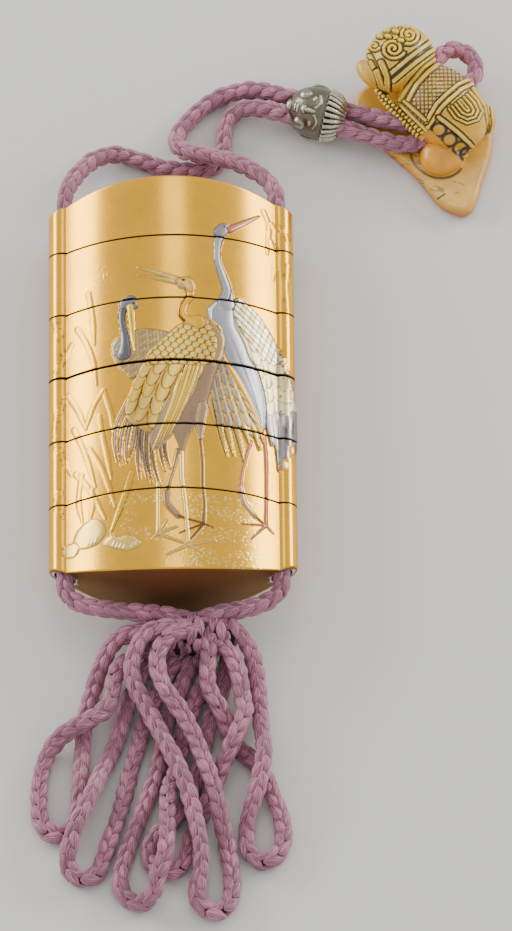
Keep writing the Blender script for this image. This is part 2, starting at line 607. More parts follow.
class Field:
    """A raised area with an outline, which clips the feathers laid on it."""

    def __init__(self, points, colour, height=0.22, outline=ENGRAVED, matt=0.4, soft=0.9):
        line = closed_spline(points)
        self.patch = patch_of(line, 0.5)
        self.depth = inside_of(line, self.patch)
        rise = np.sqrt(np.clip(1 - (1 - np.clip(self.depth / soft, 0, 1)) ** 2, 0, 1))
        if outline:
            lay(self.patch, smooth_step((self.depth + 0.14) / 0.1), outline, None)
        lay(self.patch, smooth_step(self.depth / 0.1), colour, height * rise, matt)
        self.mask = np.zeros(X.shape)
        self.mask[self.patch] = smooth_step(self.depth / 0.12)
        self.low = line.min(axis=0)
        self.high = line.max(axis=0)


def feather(tip, angle, length, width, colour, edge=ENGRAVED, edge_width=0.17, taper=0.5,
            straight=0.45, lift=0.2, rise=0.12, field=None, heart=None, matt=0.35):
    """One feather, from its covered base to its tip; the angle is where the tip points."""
    along = np.array([math.cos(angle), math.sin(angle)])
    base = np.array(tip) - along * length
    patch = patch_of([base, tip], width / 2 + 0.3)
    dx, dy = X[patch] - base[0], Y[patch] - base[1]
    u = (dx * along[0] + dy * along[1]) / length
    v = np.abs(-dx * along[1] + dy * along[0]) / (width / 2)
    end = np.clip((u - straight) / (1 - straight), 0, 1)
    half = np.clip(1 - end ** 2, 0, 1) ** taper
    margin = np.minimum((half - v) * width / 2, (1 - u) * length)
    cover = smooth_step(margin / 0.1 + 0.5) * (u > 0)
    if field is not None:
        cover = cover * field.mask[patch]
    bow = np.sqrt(np.clip(1 - (v / np.maximum(half, 0.05)) ** 2, 0, 1))
    rim = smooth_step((edge_width - margin) / 0.1) * (u > 0.12)
    tint = np.array(linear(colour)[:3]) * np.ones(cover.shape + (3,))
    if heart:
        middle = (smooth_step((0.55 - v) / 0.35) * smooth_step((u - 0.15) / 0.3))[..., None]
        tint = tint * (1 - middle) + np.array(linear(heart)[:3]) * middle
    tint = tint * (1 - rim[..., None]) + np.array(linear(edge)[:3]) * rim[..., None]
    lay(patch, cover, tint, lift + rise * (0.25 + 0.75 * np.clip(u, 0, 1)) * (0.35 + 0.65 * bow), matt)


def shingle(field, angle, width, step, length, colours, turn=None, **style):
    """Overlapping rows of feathers over a field, like roof tiles, laid from the last row up."""
    along = np.array([math.cos(angle), math.sin(angle)])
    across = np.array([-along[1], along[0]])
    centre = (field.low + field.high) / 2
    reach = np.linalg.norm(field.high - field.low) / 2 + length
    rows = int(reach / step)
    columns = int(reach / width) + 1
    for row in range(rows, -rows - 1, -1):
        for column in range(-columns, columns + 1):
            tip = centre + along * row * step + across * (column + 0.5 * (row % 2)) * width
            if (tip < field.low - length).any() or (tip > field.high + length).any():
                continue
            heading = angle + (turn(*tip) if turn else 0)
            feather(tip, heading, length, width * 1.04, colours[(row + column) % len(colours)],
                    field=field, **style)


def feather_row(path, count, length, width, colours, **style):
    """Feathers one behind another, with their tips on a path and their heads at its start."""
    line = spline(path, 10)
    run = np.concatenate([[0], np.cumsum(np.linalg.norm(np.diff(line, axis=0), axis=1))])
    for i in reversed(range(count)):
        at = run[-1] * i / (count - 1)
        tip = np.array([np.interp(at, run, line[:, k]) for k in (0, 1)])
        ahead = np.array([np.interp(min(at + 0.5, run[-1]), run, line[:, k]) for k in (0, 1)])
        behind = np.array([np.interp(max(at - 0.5, 0), run, line[:, k]) for k in (0, 1)])
        heading = math.atan2(ahead[1] - behind[1], ahead[0] - behind[0])
        feather(tip, heading, length, width, colours[i % len(colours)], **style)


def primary(points, width=1.15, colour="#7b6455", lit="#e9be58"):
    """A long wing feather: a grey-brown strip with a dark edge and a gold edge."""
    line = np.array(points, float)
    ahead = line[-1] - line[0]
    side = np.array([-ahead[1], ahead[0]]) / np.linalg.norm(ahead)
    ends = (1.0, 1.0, 0.75, 0.12)
    stroke(line, [width * e for e in ends], ENGRAVED, 0.2, 0.1)
    stroke(line + side * 0.09 * width, [width * 0.82 * e for e in ends], colour, 0.16, 0.14)
    stroke(line + side * 0.36 * width, [0.24, 0.26, 0.2, 0.1], lit, 0.1, 0.24)


picture_random = np.random.default_rng(7)


def dust(low, high, count, size=0.2, colour=WHITE_GOLD):
    """Coarse gold flakes sprinkled in the wet lacquer."""
    for x, y, share in picture_random.random((count, 3)):
        place = (low[0] + (high[0] - low[0]) * x, low[1] + (high[1] - low[1]) * y)
        across = size * (0.6 + 0.9 * share)
        stroke([place, (place[0] + 0.05, place[1])], [across, across], colour, 0.05, 0.0, matt=0.15)


# Reeds: leaves bent over at the top, with engraved edges
REEDS = [
    [(-16.2, 8.1), (-16.6, 15.3), (-17.4, 20.7)],
    [(-15.8, -1.5), (-16.4, 3.9), (-17.7, 8.5), (-19.8, 13)],
    [(-11.9, -15.5), (-12.7, -9.2), (-14.3, -3.2)],
    [(-18.1, -11.5), (-16.4, -6.4), (-14.3, -3.2)],
    [(-12.7, -24.6), (-13.5, -19.3), (-14.6, -13.5), (-15.2, -9.1)],
    [(-16.1, -25.6), (-16.9, -22.1), (-18.6, -16), (-20.6, -10.6)],
    [(-11.9, -31.2), (-13.2, -26.3), (-14.8, -21.3), (-17.3, -16.4)],
    [(-14, -33.5), (-15.7, -29.4), (-17.7, -25.1), (-20.2, -21.3)],
    [(-22.7, 5.6), (-23.5, 12.3), (-25, 16.7)],
    [(-24.4, 3.6), (-22.7, 6.6), (-21, 9.7)],
    [(-25, -10.7), (-24, -6.4), (-21.9, -2.2)],
    [(-18.1, -11.1), (-19.8, -6.3), (-21.9, -2.2)],
    [(-21.1, -21.2), (-22.7, -17.3), (-25, -12)],
    [(-22.8, -30.8), (-24.4, -27.7), (-23.6, -24.7)],
    [(-12.8, -36.6), (-10.7, -31.4), (-8.8, -26.2)],
    [(-12.6, -36.2), (-10.2, -29.5), (-8.4, -23.6)],
    [(-17.2, -33), (-16.6, -29), (-16.9, -26)],
    [(-18.8, -33), (-19.6, -28), (-19, -22)],
    [(20.4, 30.6), (20.7, 34.6), (20.8, 37.9), (19.8, 40.8)],
    [(22.7, 32.9), (22.4, 36.5), (21.4, 38.3)],
    [(25, 34.6), (24.1, 36.3), (22.8, 37.9)],
    [(21.6, 25), (22.1, 30), (21.2, 34)],
    [(24.6, 18), (24.2, 24), (25, 29)],
]
for leaf in REEDS:
    stroke(leaf, [0.5, 1.1, 1.0, 1.15], GOLD, 0.07, 0.0, outline="#7d5520", outline_width=0.17,
           matt=0.1)

# Rocks: low mounds with an engraved edge and tufts of moss along the foot
ROCKS = [
    [(-20.7, -38), (-19.8, -34.6), (-16.5, -32.9), (-14.4, -34.4), (-14, -36.8), (-15.4, -38.8),
     (-18.4, -39.4)],
    [(-14.4, -39.1), (-12.7, -37.6), (-11.1, -38.3), (-9.5, -38.1), (-8.3, -38.5), (-6.3, -40.3),
     (-7.6, -41.3), (-9.3, -41.8), (-10.9, -41.3), (-12.7, -40.4)],
    [(-23, -39.5), (-22.4, -37.3), (-20.4, -37.4), (-19.4, -39), (-20.6, -40.6)],
]
for rock in ROCKS:
    Field(rock, "#e6c062", 0.2, "#8a6630", 0.2, 1.4)
for foot_x, foot_y in ((-12.4, -40.2), (-11.7, -40.6), (-11, -40.8), (-10.2, -41.1), (-8.6, -41.1),
                       (-7.9, -40.7), (-17.6, -38.6), (-16.9, -38.7), (-16.1, -38.4)):
    stroke([(foot_x, foot_y), (foot_x + 0.5, foot_y + 1.1)], [0.34, 0.16], WHITE_GOLD, 0.08, 0.18,
           outline="#7c5a30", outline_width=0.1)
dust((-7, -31), (18, -29.3), 130)
dust((2, -35), (18, -31.5), 130)
dust((-9, -40), (18, -36.5), 190)
dust((-2, -46), (19, -41.5), 200)
dust((-13, -38), (-7, -28), 60)
dust((-16.6, 23.4), (-13.2, 26.2), 26, 0.16, "#a98a4c")

# The crane on the left, half hidden, with its beak down over its breast
left_crane = Field([(-12.5, 5.5), (-12.4, 7), (-11.7, 8.3), (-10.2, 8.9), (-7.2, 9.9), (-4.8, 9.9),
                    (-2.4, 9.3), (-0.4, 8.6), (-3.6, 4.4), (-6, 1), (-8.1, -1.7), (-9.7, -0.1),
                    (-10.9, 1.5), (-11.9, 3.3)], "#b39468", 0.2)
shingle(left_crane, math.radians(-118), 0.85, 0.7, 1.2, ("#bfa06c", "#a98c66", "#c9a964"),
        edge="#6f5636", edge_width=0.12, lift=0.16, rise=0.07)
stroke([(-11.9, 4.6), (-12, 6.6), (-11, 8)], [0.5, 0.8, 0.3], SILVER, 0.1, 0.16)
stroke([(-9.9, 4.4), (-9.6, 8), (-10.2, 11.6), (-10.2, 14.6), (-9.3, 16.6)],
       [2.8, 1.5, 1.25, 1.3, 1.8], DARK_SILVER, 0.2, 0.16, outline=ENGRAVED)
stroke([(-10.4, 4.8), (-10.1, 8), (-10.6, 11.6), (-10.6, 14.4)], [0.7, 0.5, 0.4, 0.3], SILVER,
       0.05, 0.34)
stroke([(-9.8, 16.4), (-8.6, 17), (-7.7, 15.6)], [2.2, 2.4, 1.5], "#85838a", 0.2, 0.2,
       outline=ENGRAVED)
stroke([(-8.5, 15.4), (-8.1, 10), (-7.6, 4.9)], [1.5, 1.2, 0.3], HORN, 0.18, 0.22,
       outline="#7a5a30")
stroke([(-8.3, 14.6), (-8, 9), (-7.7, 5.6)], [0.14, 0.12, 0.1], "#9a7434", 0.0, 0.38)
stroke([(-7.9, 16.1), (-7.8, 16.1)], [0.5, 0.5], "#2c2622", 0.08, 0.36)

# The crane on the right: silver breast and neck, and a wing folded over its flank
right_wing = Field([(12.6, 16.6), (14, 18.2), (15.5, 17.8), (16.6, 16.7), (18.1, 15.5), (19.6, 13.6),
                    (21.1, 11.2), (22.7, 8.2), (23.8, 5.2), (24.8, 2), (25.6, -1.5), (25.6, -12),
                    (22.6, -16), (19.4, -11), (17.6, -4), (15.4, 5)], "#e3cf9c", 0.24)
for points in ([(25.4, -4), (25.7, -10), (25.6, -16)], [(24, -6), (24.4, -12), (23.6, -17.9)],
               [(22.6, -6), (23.2, -13), (22.8, -20.1)], [(21.6, -6), (22, -13), (22, -20.6)],
               [(20.6, -6), (21, -11), (21.6, -15.7)], [(19.8, -6), (20.1, -10), (20.6, -15)]):
    primary(points, 1.5, "#8d8584", "#e9dfc4")
for path, count in (([(24.2, 5), (25.2, 0), (25.4, -6)], 5), ([(22.4, 4), (23.6, -1), (24, -7.6)], 5),
                    ([(20.6, 5), (21.8, 0), (22.3, -7)], 5), ([(18.9, 4.4), (20, -1), (20.6, -8)], 5),
                    ([(17.5, 6), (18.6, 0), (19.3, -6)], 5)):
    feather_row(path, count, 4.2, 2.2, ("#ead79f", "#e2cf9c", "#d9c18a"), edge="#54432f",
                edge_width=0.22, field=right_wing)
upper_wing = Field([(12.8, 16.3), (14, 18.2), (15.5, 17.8), (16.6, 16.7), (18.1, 15.5), (19.6, 13.6),
                    (21.1, 11.2), (22.5, 8.4), (22.9, 5.4), (21, 4.2), (18.8, 5), (17, 7.6),
                    (14.6, 10.4)], "#d8bd83", 0.27)
shingle(upper_wing, math.radians(-74), 1.35, 1.05, 1.7, ("#eee0bb", "#dcc28a", "#f3ead0"),
        edge="#4a3522", edge_width=0.24, taper=0.8, straight=0.2, lift=0.25, rise=0.09)
Field([(7.8, 14.7), (7.7, 13.2), (8, 12.1), (9.9, 9), (11.2, 5), (12.7, 1.1), (14.5, -2.5),
       (16.1, -5.8), (17.5, -8.3), (19, -12.4), (19.7, -5.8), (18.9, -1.1), (17.8, 2.3),
       (16.5, 4.1), (15.2, 7.8), (13.4, 11.4), (12.6, 16.6), (10.2, 17.4)], SILVER, 0.3,
      "#6b5a50", 0.3, 1.8)
stroke([(8.3, 12.4), (8.3, 14.6), (9.4, 16.2)], [0.3, 0.55, 0.3], "#e6e4e2", 0.05, 0.3)
for reach in (0.3, 1.0, 1.7, 2.5, 3.3):
    stroke([(12.4 + reach * 0.7, 9 - reach), (14.6 + reach * 0.5, 3 - reach),
            (17.4 + reach * 0.2, -4 - reach)], [0.1, 0.16, 0.08], "#8f8d90", 0.02, 0.32)
stroke([(11.6, 16.6), (11.9, 19.4), (10.9, 22.8), (9.9, 26.4), (9.9, 29.6), (10.3, 32.6)],
       [3.6, 1.8, 1.45, 1.2, 1.2, 2.0], "#a3a1a0", 0.26, 0.12, outline="#4a3c3a")
stroke([(12, 17.2), (12.6, 19.6), (11.9, 22.6), (10.6, 26), (10.4, 29), (11, 31.6)],
       [0.3, 0.34, 0.26, 0.2, 0.2, 0.3], "#3c2c34", 0.02, 0.3)
stroke([(10.4, 33.4), (11.5, 34.5), (12.6, 34.6)], [2.4, 2.5, 1.6], "#8f8d90", 0.22, 0.2,
       outline="#4a3c3a")
stroke([(12.4, 34.4), (15.4, 36.6), (18.8, 39.3)], [1.5, 0.95, 0.22], COPPER, 0.2, 0.18,
       outline="#6e4634", outline_width=0.12)
stroke([(12.8, 34.2), (15.6, 36.2), (18.6, 38.9)], [0.2, 0.3, 0.1], "#eec3a8", 0.03, 0.36)
stroke([(11.4, 34.8), (11.5, 34.8)], [0.45, 0.45], "#2a2224", 0.06, 0.42)

# The middle crane: back of gold scales, a wing on the left and the tail on the right
for points in ([(-9, -6.8), (-11.2, -11.6), (-11.9, -15.4), (-11.5, -20.7)],
               [(-8.4, -9), (-10.2, -14), (-10.8, -18), (-10.6, -21.9)],
               [(-7.8, -10), (-9, -15), (-9.5, -19), (-9.4, -21.5)],
               [(-7, -11), (-7.6, -15), (-8.2, -18), (-8.9, -20)],
               [(-6.2, -11), (-6.9, -17), (-7.1, -21), (-6.8, -25.6)],
               [(-5.6, -12), (-6.2, -17), (-5.9, -21), (-5.3, -25.7)],
               [(-4.6, -12), (-5.2, -18), (-4.9, -23), (-4.3, -26.9)],
               [(-3.8, -13), (-4.1, -19), (-3.5, -24), (-2.5, -27.8)],
               [(-1.4, -12), (-2.4, -17), (-2.2, -21), (-1.6, -24)],
               [(-0.8, -13), (-1.4, -17.5), (-1.2, -20.5), (-0.4, -23.4)]):
    primary(points)
flank = Field([(8.6, 6), (4, 2), (0.6, -4), (-2.4, -10), (-4.6, -15.6), (-3.9, -19), (-2, -18),
               (0.6, -14.6), (3.4, -9), (7.4, -2), (9.4, 2)], "#ad9068", 0.24, None)
for shift in np.arange(6) * 0.85:
    start = np.array((2.6 + shift, 1.8 + 0.2 * shift))
    end = np.array((-4.1 + 1.05 * shift, -19.2 + 1.05 * shift))
    bow = (start + end) / 2 + (0.5, -0.4)
    stroke([start, bow, end], [0.5, 0.62, 0.14], PALE_GOLD if shift % 1.7 < 0.8 else GOLD, 0.12,
           0.26, outline="#6b4f30", outline_width=0.14)
tail = Field([(9.6, 4), (11.1, 3.3), (13, 0.2), (14.8, -2.7), (16.1, -5.8), (17.5, -8.3),
              (18.6, -10.9), (19.1, -12.8), (17.6, -14.4), (15.6, -13.6), (12.4, -13.4), (9.9, -13.8),
              (8.1, -9.8), (7.3, -6.4), (7.6, -3)], "#caa658", 0.24, "#7a5a2c")
for points in ([(9, -7), (10, -13), (11.2, -19.8)], [(10.4, -8), (11.6, -14), (12.6, -19.6)],
               [(12, -8), (13.6, -14), (15, -21.2)], [(13.8, -8), (15, -12.6), (16.2, -16.6)],
               [(15.4, -8), (17, -12.4), (18.1, -16.9)], [(16.6, -9), (18.2, -12), (19, -15)]):
    primary(points, 1.35, "#c9a45a", PALE_GOLD)
for path, count in (([(13.6, -1.4), (15.4, -5.2), (17.8, -10.8)], 5),
                    ([(12, -0.6), (13.8, -5.6), (16, -12)], 5),
                    ([(10.6, 0), (12, -5.6), (14, -12.6)], 5),
                    ([(9.4, -0.6), (10.4, -5.6), (12.2, -13)], 5),
                    ([(8.4, -2), (9.2, -6.4), (10.4, -12.6)], 5)):
    feather_row(path, count, 4.2, 1.75, ("#d9b25c", "#cfaa5e", "#e2bd66"), heart="#8b8584",
                edge="#4a3015", edge_width=0.2, taper=0.6, lift=0.22, field=tail)
stroke([(11, 3.2), (13.2, -0.4), (15.4, -4.4), (17.4, -8.6), (18.9, -12.6)],
       [0.5, 1.1, 1.0, 0.7, 0.3], GOLD, 0.12, 0.24, outline="#7a5a2c", outline_width=0.12)
belly = Field([(10.9, 8), (11, 3.6), (9.4, 0), (7.9, -5.8), (7, -8.5), (5, -12.6), (3.3, -16.2),
               (2.1, -20), (1.3, -17.4), (0.4, -14.7), (1.4, -12), (2.6, -9), (4.4, -5.4), (6, -1),
               (8.4, 2.6), (9.6, 6)], TAUPE, 0.28, "#7c6248", 0.75, 1.6)
stroke([(6.5, -8.6), (5.9, -12), (6, -16.6)], [2.2, 2.2, 0.6], "#a68c6c", 0.2, 0.16,
       outline="#6b5236", outline_width=0.14)
for x, y, share in picture_random.random((260, 3)):
    spot = (2 + 9 * x, -16 + 22 * y)
    row, column = ((spot[1] + 48) / PICTURE_CELL, (spot[0] + 26) / PICTURE_CELL)
    if belly.mask[int(row), int(column)] > 0.9:
        stroke([spot, (spot[0] + 0.05, spot[1] - 0.12)], [0.16, 0.1], "#6e5844", -0.02, 0.27)
LEFT_WING_ROWS = (
    [(-5.1, 0.9), (-6.5, -2.1), (-7.4, -4.5), (-8.3, -7.5), (-9.1, -10.2)],
    [(-1.9, 1.3), (-3.5, -1.4), (-4.5, -3.6), (-5.4, -6.4), (-6.3, -9.7), (-7.2, -12)],
    [(1.3, 1.2), (-0.3, -2.1), (-1.3, -4.3), (-2.6, -7.6), (-3.6, -11), (-4.1, -14)],
)
wing = Field([(2.4, 2.4), (-4.8, 2.4), (-7, -0.6), (-8.6, -4.6), (-9.7, -8.8), (-9.2, -11.4),
              (-7.4, -13), (-5, -14.6), (-3.4, -13.4), (-1.7, -8), (0.6, -4.2), (2, -1)],
             "#cfa24a", 0.26, "#6b4f30")
for path, count, wide in zip(LEFT_WING_ROWS, (5, 6, 6), (2.5, 2.7, 2.9)):
    feather_row(path, count, 4.6, wide, (GOLD, "#e5b850", "#dfae46"), edge_width=0.24,
                heart="#efc865", taper=0.5, straight=0.45, lift=0.26, field=wing)
back = Field([(-5.2, 1.8), (-4.6, 4.3), (-2.4, 6.6), (0, 9), (1.3, 10.3), (3.1, 11.3), (4.7, 12.2),
              (6.5, 12.5), (8.5, 12.2), (9.9, 11.1), (10.7, 9.4), (10.2, 6.4), (9, 3.4), (7.6, 1.4),
              (2, 1.1)], "#d4a84c", 0.3, "#5f4426", 0.3, 1.6)
shingle(back, math.radians(-103), 1.75, 1.2, 2.3, (GOLD, "#e6c163", "#e0b755"),
        heart="#f0cb68", edge="#2e1a08", edge_width=0.24, straight=0.6, lift=0.3, rise=0.12,
        turn=lambda x, y: math.radians(2.6 * (x - 4)))
stroke([(8.6, 11), (10.2, 8), (9.8, 4), (8.6, 1.4)], [0.8, 1.7, 1.5, 0.8], "#b3935f", 0.1, 0.26)
stroke([(5.6, 11.4), (3.4, 11.9), (2.5, 13.6), (3, 15.6), (4.2, 17.6), (4, 19.8)],
       [3.2, 1.9, 1.35, 1.25, 1.35, 1.9], GOLD, 0.24, 0.16, outline=ENGRAVED, outline_width=0.17)
stroke([(2.9, 11.4), (1.8, 12.8), (1.9, 14.8), (3.2, 17.6), (2.9, 19)], [0.34, 0.34, 0.3, 0.3, 0.16],
       "#3c2a18", 0.0, 0.24)
stroke([(1.8, 20.6), (-2.6, 21.8), (-7, 22.9)], [1.1, 0.7, 0.18], "#e2bd66", 0.16, 0.12,
       outline="#8a6a36", outline_width=0.13)
stroke([(1.9, 21.3), (-2.6, 23), (-6.9, 24.8)], [1.1, 0.8, 0.2], "#e6c36c", 0.18, 0.14,
       outline="#8a6a36", outline_width=0.13)
stroke([(1.9, 20.9), (3.4, 20.7), (4.1, 19.6)], [1.6, 2.7, 2.2], "#dfb659", 0.26, 0.18,
       outline="#5f4426")
stroke([(1.6, 20), (2.4, 19.5), (3.2, 19.4)], [0.35, 0.7, 0.3], "#b08e84", 0.02, 0.34)
stroke([(2.5, 21.1), (2.9, 21.1)], [0.5, 0.42], "#33261a", 0.06, 0.42)

# Legs: the hidden birds' in brown and copper, the middle crane's in gold
for points, widths, colour in (
        ([(1.3, -19.1), (0.4, -23), (-0.8, -27.3), (-1.2, -29.3)], [0.9, 0.6, 0.55, 0.9], "#8a6f50"),
        ([(-1.2, -29), (-0.9, -31.6), (1.2, -34.5)], [1.3, 1.25, 1.1], "#9a7d5c"),
        ([(1.2, -34.4), (2.7, -35), (6.3, -36)], [0.5, 0.35, 0.4], "#6b4d30"),
        ([(6, -16.6), (6.4, -21.9), (6.4, -27.3), (6.7, -30.9), (6.5, -36)],
         [0.5, 0.6, 0.5, 0.55, 0.8], "#7d6146"),
        ([(19.2, -12.9), (19.6, -18.2), (19.6, -25.4), (19.4, -34.1)], [0.7, 0.6, 0.5, 0.6], COPPER),
        ([(16.6, -15.1), (15.6, -18.6), (14.6, -23.1), (14.2, -27)], [0.6, 0.55, 0.5, 0.8], COPPER),
        ([(14.2, -26.6), (15.2, -30.2), (17.2, -32.6)], [1.0, 1.1, 0.9], "#c89a7a"),
        ([(17, -32.4), (19.2, -34.1)], [0.4, 0.3], "#7c5238")):
    stroke(points, widths, colour, 0.2, 0.04, outline="#5f4528", outline_width=0.1)
for foot, toes, colour in (((6.5, -36.1), ((8.6, -36.8), (1.5, -38.4), (3.6, -39.9), (5, -35.6)),
                            "#6b4d30"),
                           ((19.4, -34.1), ((16.4, -38.1), (14.5, -35), (20.9, -35.6)), "#8c5f48")):
    for toe in toes:
        stroke([foot, toe], [0.5, 0.22], colour, 0.14, 0.03, outline="#5f4528", outline_width=0.08)
for points in ([(-2.9, -26.8), (-2.9, -32.8), (-3, -38.3)],
               [(2, -19.6), (2.1, -25.7), (2.5, -29.3), (2.9, -34.6), (3.3, -41.2)]):
    stroke(points, [0.75, 0.7, 0.75], "#e6c066", 0.22, 0.03, outline="#80602e", outline_width=0.13)
for foot, toes in (((-3, -38.5), ((-4.4, -39.7), (2.1, -40.7), (-1.2, -35.5), (0.9, -37))),
                   ((3.3, -41.2), ((-1.1, -43.4), (6.3, -42.9), (6.3, -37.1), (8.9, -39.9)))):
    for toe in toes:
        stroke([foot, toe], [0.62, 0.3], "#e2ba60", 0.16, 0.03, outline="#80602e", outline_width=0.12)

# Small pits and rubbed spots of age in the ground
for place, size in (((-6.6, 31.6), 0.34), ((-9.6, 34.2), 0.26), ((-14.8, 40.6), 0.2), ((15.2, 41), 0.2),
                    ((8.2, -30.2), 0.18), ((11.4, -26), 0.14), ((1.6, -43.6), 0.16)):
    stroke([place, (place[0] + 0.06, place[1])], [size, size], "#7a5a2a", -0.05, 0.0, matt=0.7)


# ---------------------------------------------------------------- the lacquered case
# Six wooden sections that stack on collars, each covered with burnished gold lacquer. Every one
# is turned up as a closed shell: outside with the picture's relief, seam faces, collar, cavity.

CASE_HALF_DEPTH = 10.5
PANEL_RADIUS = 35.7
PANEL_HALF_WIDTH = 22.2
RIDGE_X = 23.1
RIDGE_RADIUS = 2.9
BACK_FLAT_HALF = 4.0
PANEL_CENTRE = CASE_HALF_DEPTH - PANEL_RADIUS
AXIS_HEIGHT = math.sqrt(PANEL_RADIUS ** 2 - BACK_FLAT_HALF ** 2) + PANEL_CENTRE
END_RADIUS = 65.0
HALF_HEIGHT = 42.1
DOME_CENTRE = HALF_HEIGHT - math.sqrt(END_RADIUS ** 2 - 26.0 ** 2)
SEAMS = (32.2, 17.2, 2.2, -12.8, -27.8)
SEAM_GAPS = (0.12, 0.12, 0.3, 0.12, 0.12)
CHANNEL_X, CHANNEL_RADIUS = 22.6, 2.3
CAVITY_RADIUS, CAVITY_HALF_WIDTH, CAVITY_NOSE = 33.3, 17.8, 0.8
COLLAR_WALL, COLLAR_CLEARANCE, COLLAR_HEIGHT = 0.85, 0.25, 4.0
RECESS_DEPTH, SHELF, END_WALL = 4.4, 1.2, 1.8
FRONT_COLUMNS, RIDGE_COLUMNS, BACK_COLUMNS = 280, 22, 34
ROW_PITCH = 0.17
ARRIS = 0.07
END_ARRIS = 0.35


def panel_depth(x):
    return np.sqrt(PANEL_RADIUS ** 2 - np.square(x)) + PANEL_CENTRE


def case_outline():
    """The section across the case, from the front panel's left edge round by the right."""
    front_x = np.linspace(-PANEL_HALF_WIDTH, PANEL_HALF_WIDTH, FRONT_COLUMNS)
    front = np.column_stack([front_x, panel_depth(front_x)])
    turn = np.radians(np.linspace(104, -104, RIDGE_COLUMNS))
    right = np.column_stack([RIDGE_X + RIDGE_RADIUS * np.cos(turn), RIDGE_RADIUS * np.sin(turn)])
    back_x = np.linspace(PANEL_HALF_WIDTH, -PANEL_HALF_WIDTH, BACK_COLUMNS)
    flat = -panel_depth(np.maximum(np.abs(back_x), BACK_FLAT_HALF))
    left = right[::-1] * (-1, 1)
    return np.vstack([front, right, np.column_stack([back_x, flat]), left])


OUTER = case_outline()


def lens_outline(offset):
    """The cavity's, collar's or recess's section, with a point for each of the outline's."""
    half, radius = CAVITY_HALF_WIDTH + offset, CAVITY_RADIUS + offset
    flank = half - CAVITY_NOSE
    flank_depth = math.sqrt(radius ** 2 - flank ** 2) + PANEL_CENTRE
    x, depth = OUTER[:, 0], OUTER[:, 1]
    on_panel = np.abs(x) <= PANEL_HALF_WIDTH + 0.01
    lens_x = np.clip(x / PANEL_HALF_WIDTH, -1, 1) * flank
    lens_depth = np.sign(depth) * (np.sqrt(radius ** 2 - lens_x ** 2) + PANEL_CENTRE)
    share = np.clip(depth / RIDGE_RADIUS, -1, 1)
    nose_x = np.sign(x) * (flank + CAVITY_NOSE * np.sqrt(1 - share ** 2))
    return np.column_stack([np.where(on_panel, lens_x, nose_x),
                            np.where(on_panel, lens_depth, flank_depth * share)])


def outline_normals(outline):
    ahead = np.roll(outline, -1, axis=0) - np.roll(outline, 1, axis=0)
    normals = np.column_stack([-ahead[:, 1], ahead[:, 0]])
    return normals / np.linalg.norm(normals, axis=1)[:, None]


OUTWARD = outline_normals(OUTER)
CAVITY, COLLAR = lens_outline(0.0), lens_outline(COLLAR_WALL)
RECESS = lens_outline(COLLAR_WALL + COLLAR_CLEARANCE)


def dome(outline):
    return DOME_CENTRE + np.sqrt(END_RADIUS ** 2 - np.square(outline).sum(axis=1))


def ring(outline, y):
    return np.column_stack([outline[:, 0], np.broadcast_to(y, len(outline)),
                            AXIS_HEIGHT + outline[:, 1]])


def side_rings(low, high):
    """Rings up the outside between two heights, each a number or one for every column."""
    low, high = np.broadcast_to(low, len(OUTER)), np.broadcast_to(high, len(OUTER))
    count = int(np.max(high - low) / ROW_PITCH)
    return [ring(OUTER, low + (high - low) * i / count) for i in range(count + 1)]


def seam_edge(y):
    return ring(OUTER - OUTWARD * ARRIS, y)


def end_rings(side):
    """The domed end from its rounded edge to its middle."""
    rings = []
    for turn in np.radians((18, 36, 54, 72, 90)):
        outline = OUTER - OUTWARD * END_ARRIS * (1 - math.cos(turn))
        rings.append(ring(outline, side * (dome(OUTER) - END_ARRIS * (1 - math.sin(turn)))))
    inner = OUTER - OUTWARD * END_ARRIS
    for share in np.linspace(0.97, 0.03, 26):
        rings.append(ring(inner * share, side * dome(inner * share)))
    return rings


def collar_rings(top):
    return [seam_edge(top), ring(COLLAR, top), ring(COLLAR, top + COLLAR_HEIGHT),
            ring(CAVITY, top + COLLAR_HEIGHT)]


def recess_rings(bottom):
    return [ring(RECESS, bottom + RECESS_DEPTH), ring(RECESS, bottom), seam_edge(bottom)]


def picture_at(values, x, y):
    """What the picture holds at points of the panel, between its cells."""
    column = np.clip((x - picture_x[0]) / PICTURE_CELL, 0, len(picture_x) - 1.001)
    row = np.clip((y - picture_y[0]) / PICTURE_CELL, 0, len(picture_y) - 1.001)
    i, j = column.astype(int), row.astype(int)
    u, v = column - i, row - j
    if values.ndim == 3:
        u, v = u[:, None], v[:, None]
    return ((values[j, i] * (1 - u) + values[j, i + 1] * u) * (1 - v)
            + (values[j + 1, i] * (1 - u) + values[j + 1, i + 1] * u) * v)


